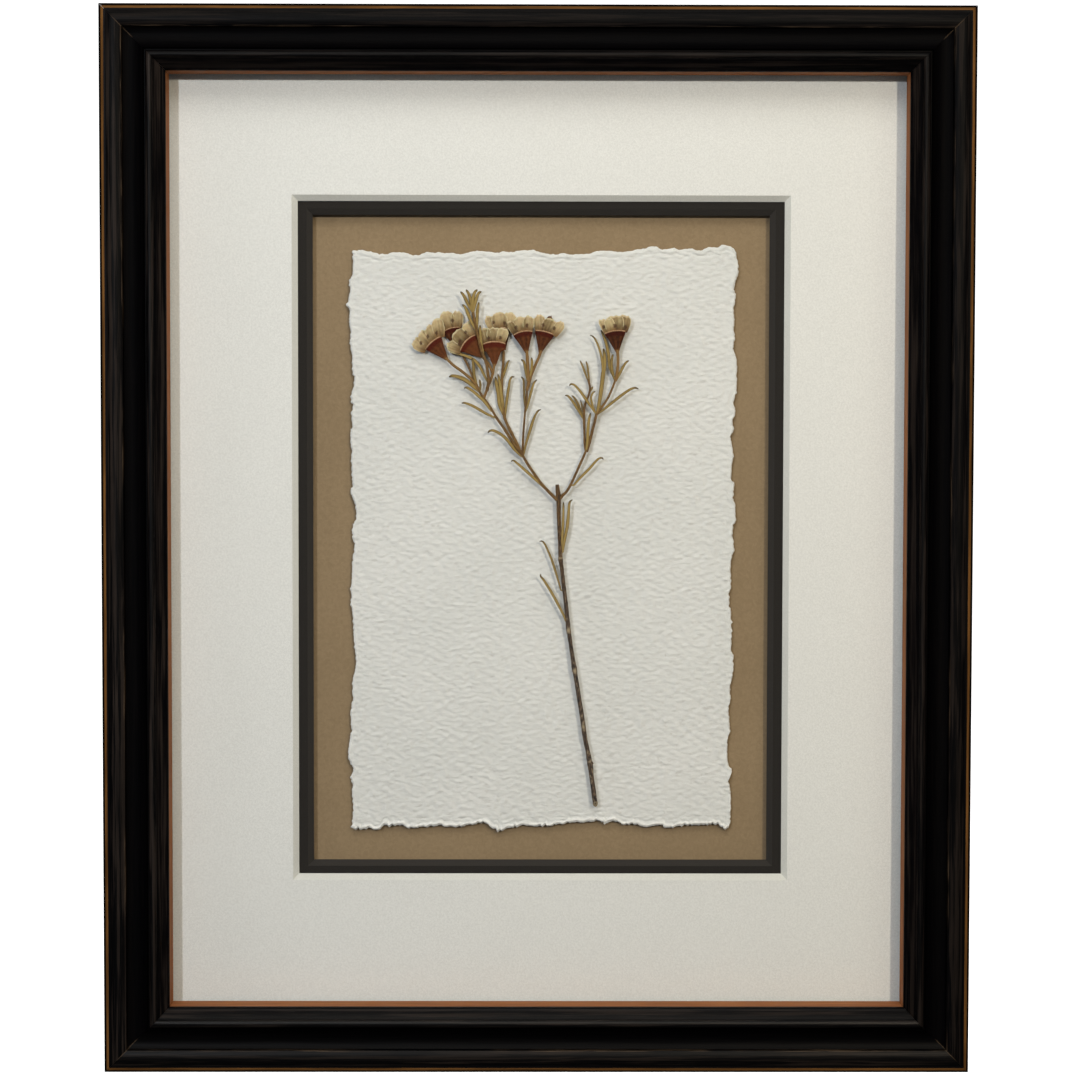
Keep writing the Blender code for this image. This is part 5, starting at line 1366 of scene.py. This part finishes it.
room = {
    "floorDrop": 0.3,
    "floorBend": 0.9,
    "floorReach": (-2.0, 0.3),
    "floorTop": 3.0,
    "floorGlow": 0.95,
    "worldLight": 0.08,
    "lampPlace": (0.32, 1.0, 0.25),
    "lampAim": (0.24, 0.075),
    "lampRadius": 0.016,
    "lampCone": math.radians(63.0),
    "leftLamp": (14.15, (0.93, 0.98, 1.04)),
    "rightLamp": (15.4, (1.0, 0.88, 0.68)),
    "ceilingPlace": (0.0, 0.6, 0.62),
    "ceilingSize": 0.5,
    "ceiling": (2.8, (1.0, 0.96, 0.88)),
    "windowPlace": (-0.9, 0.35, 0.2),
    "windowSize": 0.4,
    "window": (1.15, (0.96, 0.98, 1.0)),
    "fillPlace": (0.45, 0.5, 0.25),
    "fillSize": 0.4,
    "warmFill": (0.5, (1.0, 0.86, 0.64)),
    "backPlace": (0.1, -0.8, 0.4),
    "backSize": 0.5,
    "backLight": (5.0, (1.0, 0.98, 0.95)),
}
scene = bpy.context.scene
scene.view_settings.view_transform = "Standard"
scene.view_settings.look = "None"
world = bpy.data.worlds.new("soft room light")
world.use_nodes = True
world.node_tree.nodes["Background"].inputs["Color"].default_value = (1.0, 1.0, 1.0, 1.0)
world.node_tree.nodes["Background"].inputs["Strength"].default_value = room["worldLight"]
scene.world = world


def addLight(name, kind, place, aim, strength):
    # places are from the middle of the frame: across, out towards the viewer, and up
    middle = Vector((0.0, 0.0, halfHeight))
    spot = middle + Vector((place[0], -place[1], place[2]))
    target = middle + Vector((aim[0], 0.0, aim[1]))
    data = bpy.data.lights.new(name, kind)
    data.energy, data.color = strength
    light = bpy.data.objects.new(name, data)
    turn = (spot - target).to_track_quat("Z", "Y").to_matrix().to_4x4()
    light.matrix_world = Matrix.Translation(spot) @ turn
    scene.collection.objects.link(light)
    return data, light


def addSoft(name, place, size, strength, mirrored):
    # a round soft light, that the black paint mirrors or not
    data, light = addLight(name, "AREA", place, (0.0, 0.0), strength)
    data.shape = "DISK"
    data.size = size
    light.visible_glossy = mirrored
    light.visible_camera = False


for sideName, side in (("left", -1), ("right", 1)):
    across, out, up = room["lampPlace"]
    aimAcross, aimUp = room["lampAim"]
    lamp, _ = addLight(sideName + " lamp", "SPOT", (side * across, out, up), (side * aimAcross, aimUp),
                       room[sideName + "Lamp"])
    lamp.shadow_soft_size = room["lampRadius"]
    lamp.spot_size = room["lampCone"]
    lamp.spot_blend = 1.0
addSoft("ceiling light", room["ceilingPlace"], room["ceilingSize"], room["ceiling"], True)
addSoft("window light", room["windowPlace"], room["windowSize"], room["window"], False)
addSoft("warm fill", room["fillPlace"], room["fillSize"], room["warmFill"], False)
addSoft("back light", room["backPlace"], room["backSize"], room["backLight"], True)


def buildFloor():
    # a pale sheet that lies under the frame and curves up behind it and far in front of it
    material, wire, shader = newMaterial("pale studio sheet")
    cloud = objectPlaces(wire).noise(3.0, 2.0, 0.5).between(0.3, 0.7)
    plug(wire, shader, Base_Color=cloud.mixed((246, 246, 246), (252, 252, 252)), Roughness=0.9)
    glow = wire.node("Emission", (), {"Color": (1.0, 1.0, 1.0, 1.0), "Strength": room["floorGlow"]})
    both = wire.node("AddShader", (), {0: Wire(wire.tree, shader.outputs[0]), 1: glow})
    wire.tree.links.new(both.socket, material.node_tree.nodes["Material Output"].inputs["Surface"])
    radius, top = room["floorBend"], room["floorTop"]
    front, behind = room["floorReach"]
    turns = np.linspace(0, math.pi / 2, 14)
    bend = [(radius * math.sin(turn), radius - radius * math.cos(turn)) for turn in turns]
    profile = [(front - radius, top)] + [(front - y, z) for y, z in bend[::-1]]
    profile += [(behind + y, z) for y, z in bend] + [(behind + radius, top)]
    points = [(side * top, y, z - room["floorDrop"]) for side in (-1, 1) for y, z in profile]
    count = len(profile)
    faces = [(k, count + k, count + k + 1, k + 1) for k in range(count - 1)]
    mesh = bpy.data.meshes.new("studio_sheet")
    mesh.from_pydata(points, [], faces)
    mesh.shade_smooth()
    floor = bpy.data.objects.new("studio_sheet", mesh)
    scene.collection.objects.link(floor)
    mesh.materials.append(material)
    floor.visible_diffuse = False
    floor.visible_glossy = False


buildFloor()

# Camera: the photograph's own place and lens.


def buildCamera():
    data = bpy.data.cameras.new("photo camera")
    data.sensor_width = 36.0
    data.lens = eye["focalPixels"] / (2 * eye["photoMiddle"]) * 36.0
    data.clip_start = 0.01
    data.clip_end = 20.0
    right, above, forward = [Vector((row[0], row[2], row[1])) for row in eyeTurn]
    turn = Matrix((right, above, -forward)).transposed().to_4x4()
    out, up = frameSize["backY"] - eye["distance"], frameSize["height"] / 2 + eye["up"]
    spot = Vector((eye["across"], out, up))
    camera = bpy.data.objects.new("photo camera", data)
    camera.matrix_world = Matrix.Translation(spot) @ turn
    scene.collection.objects.link(camera)
    scene.camera = camera


buildCamera()
print("lamps, floor and camera placed")
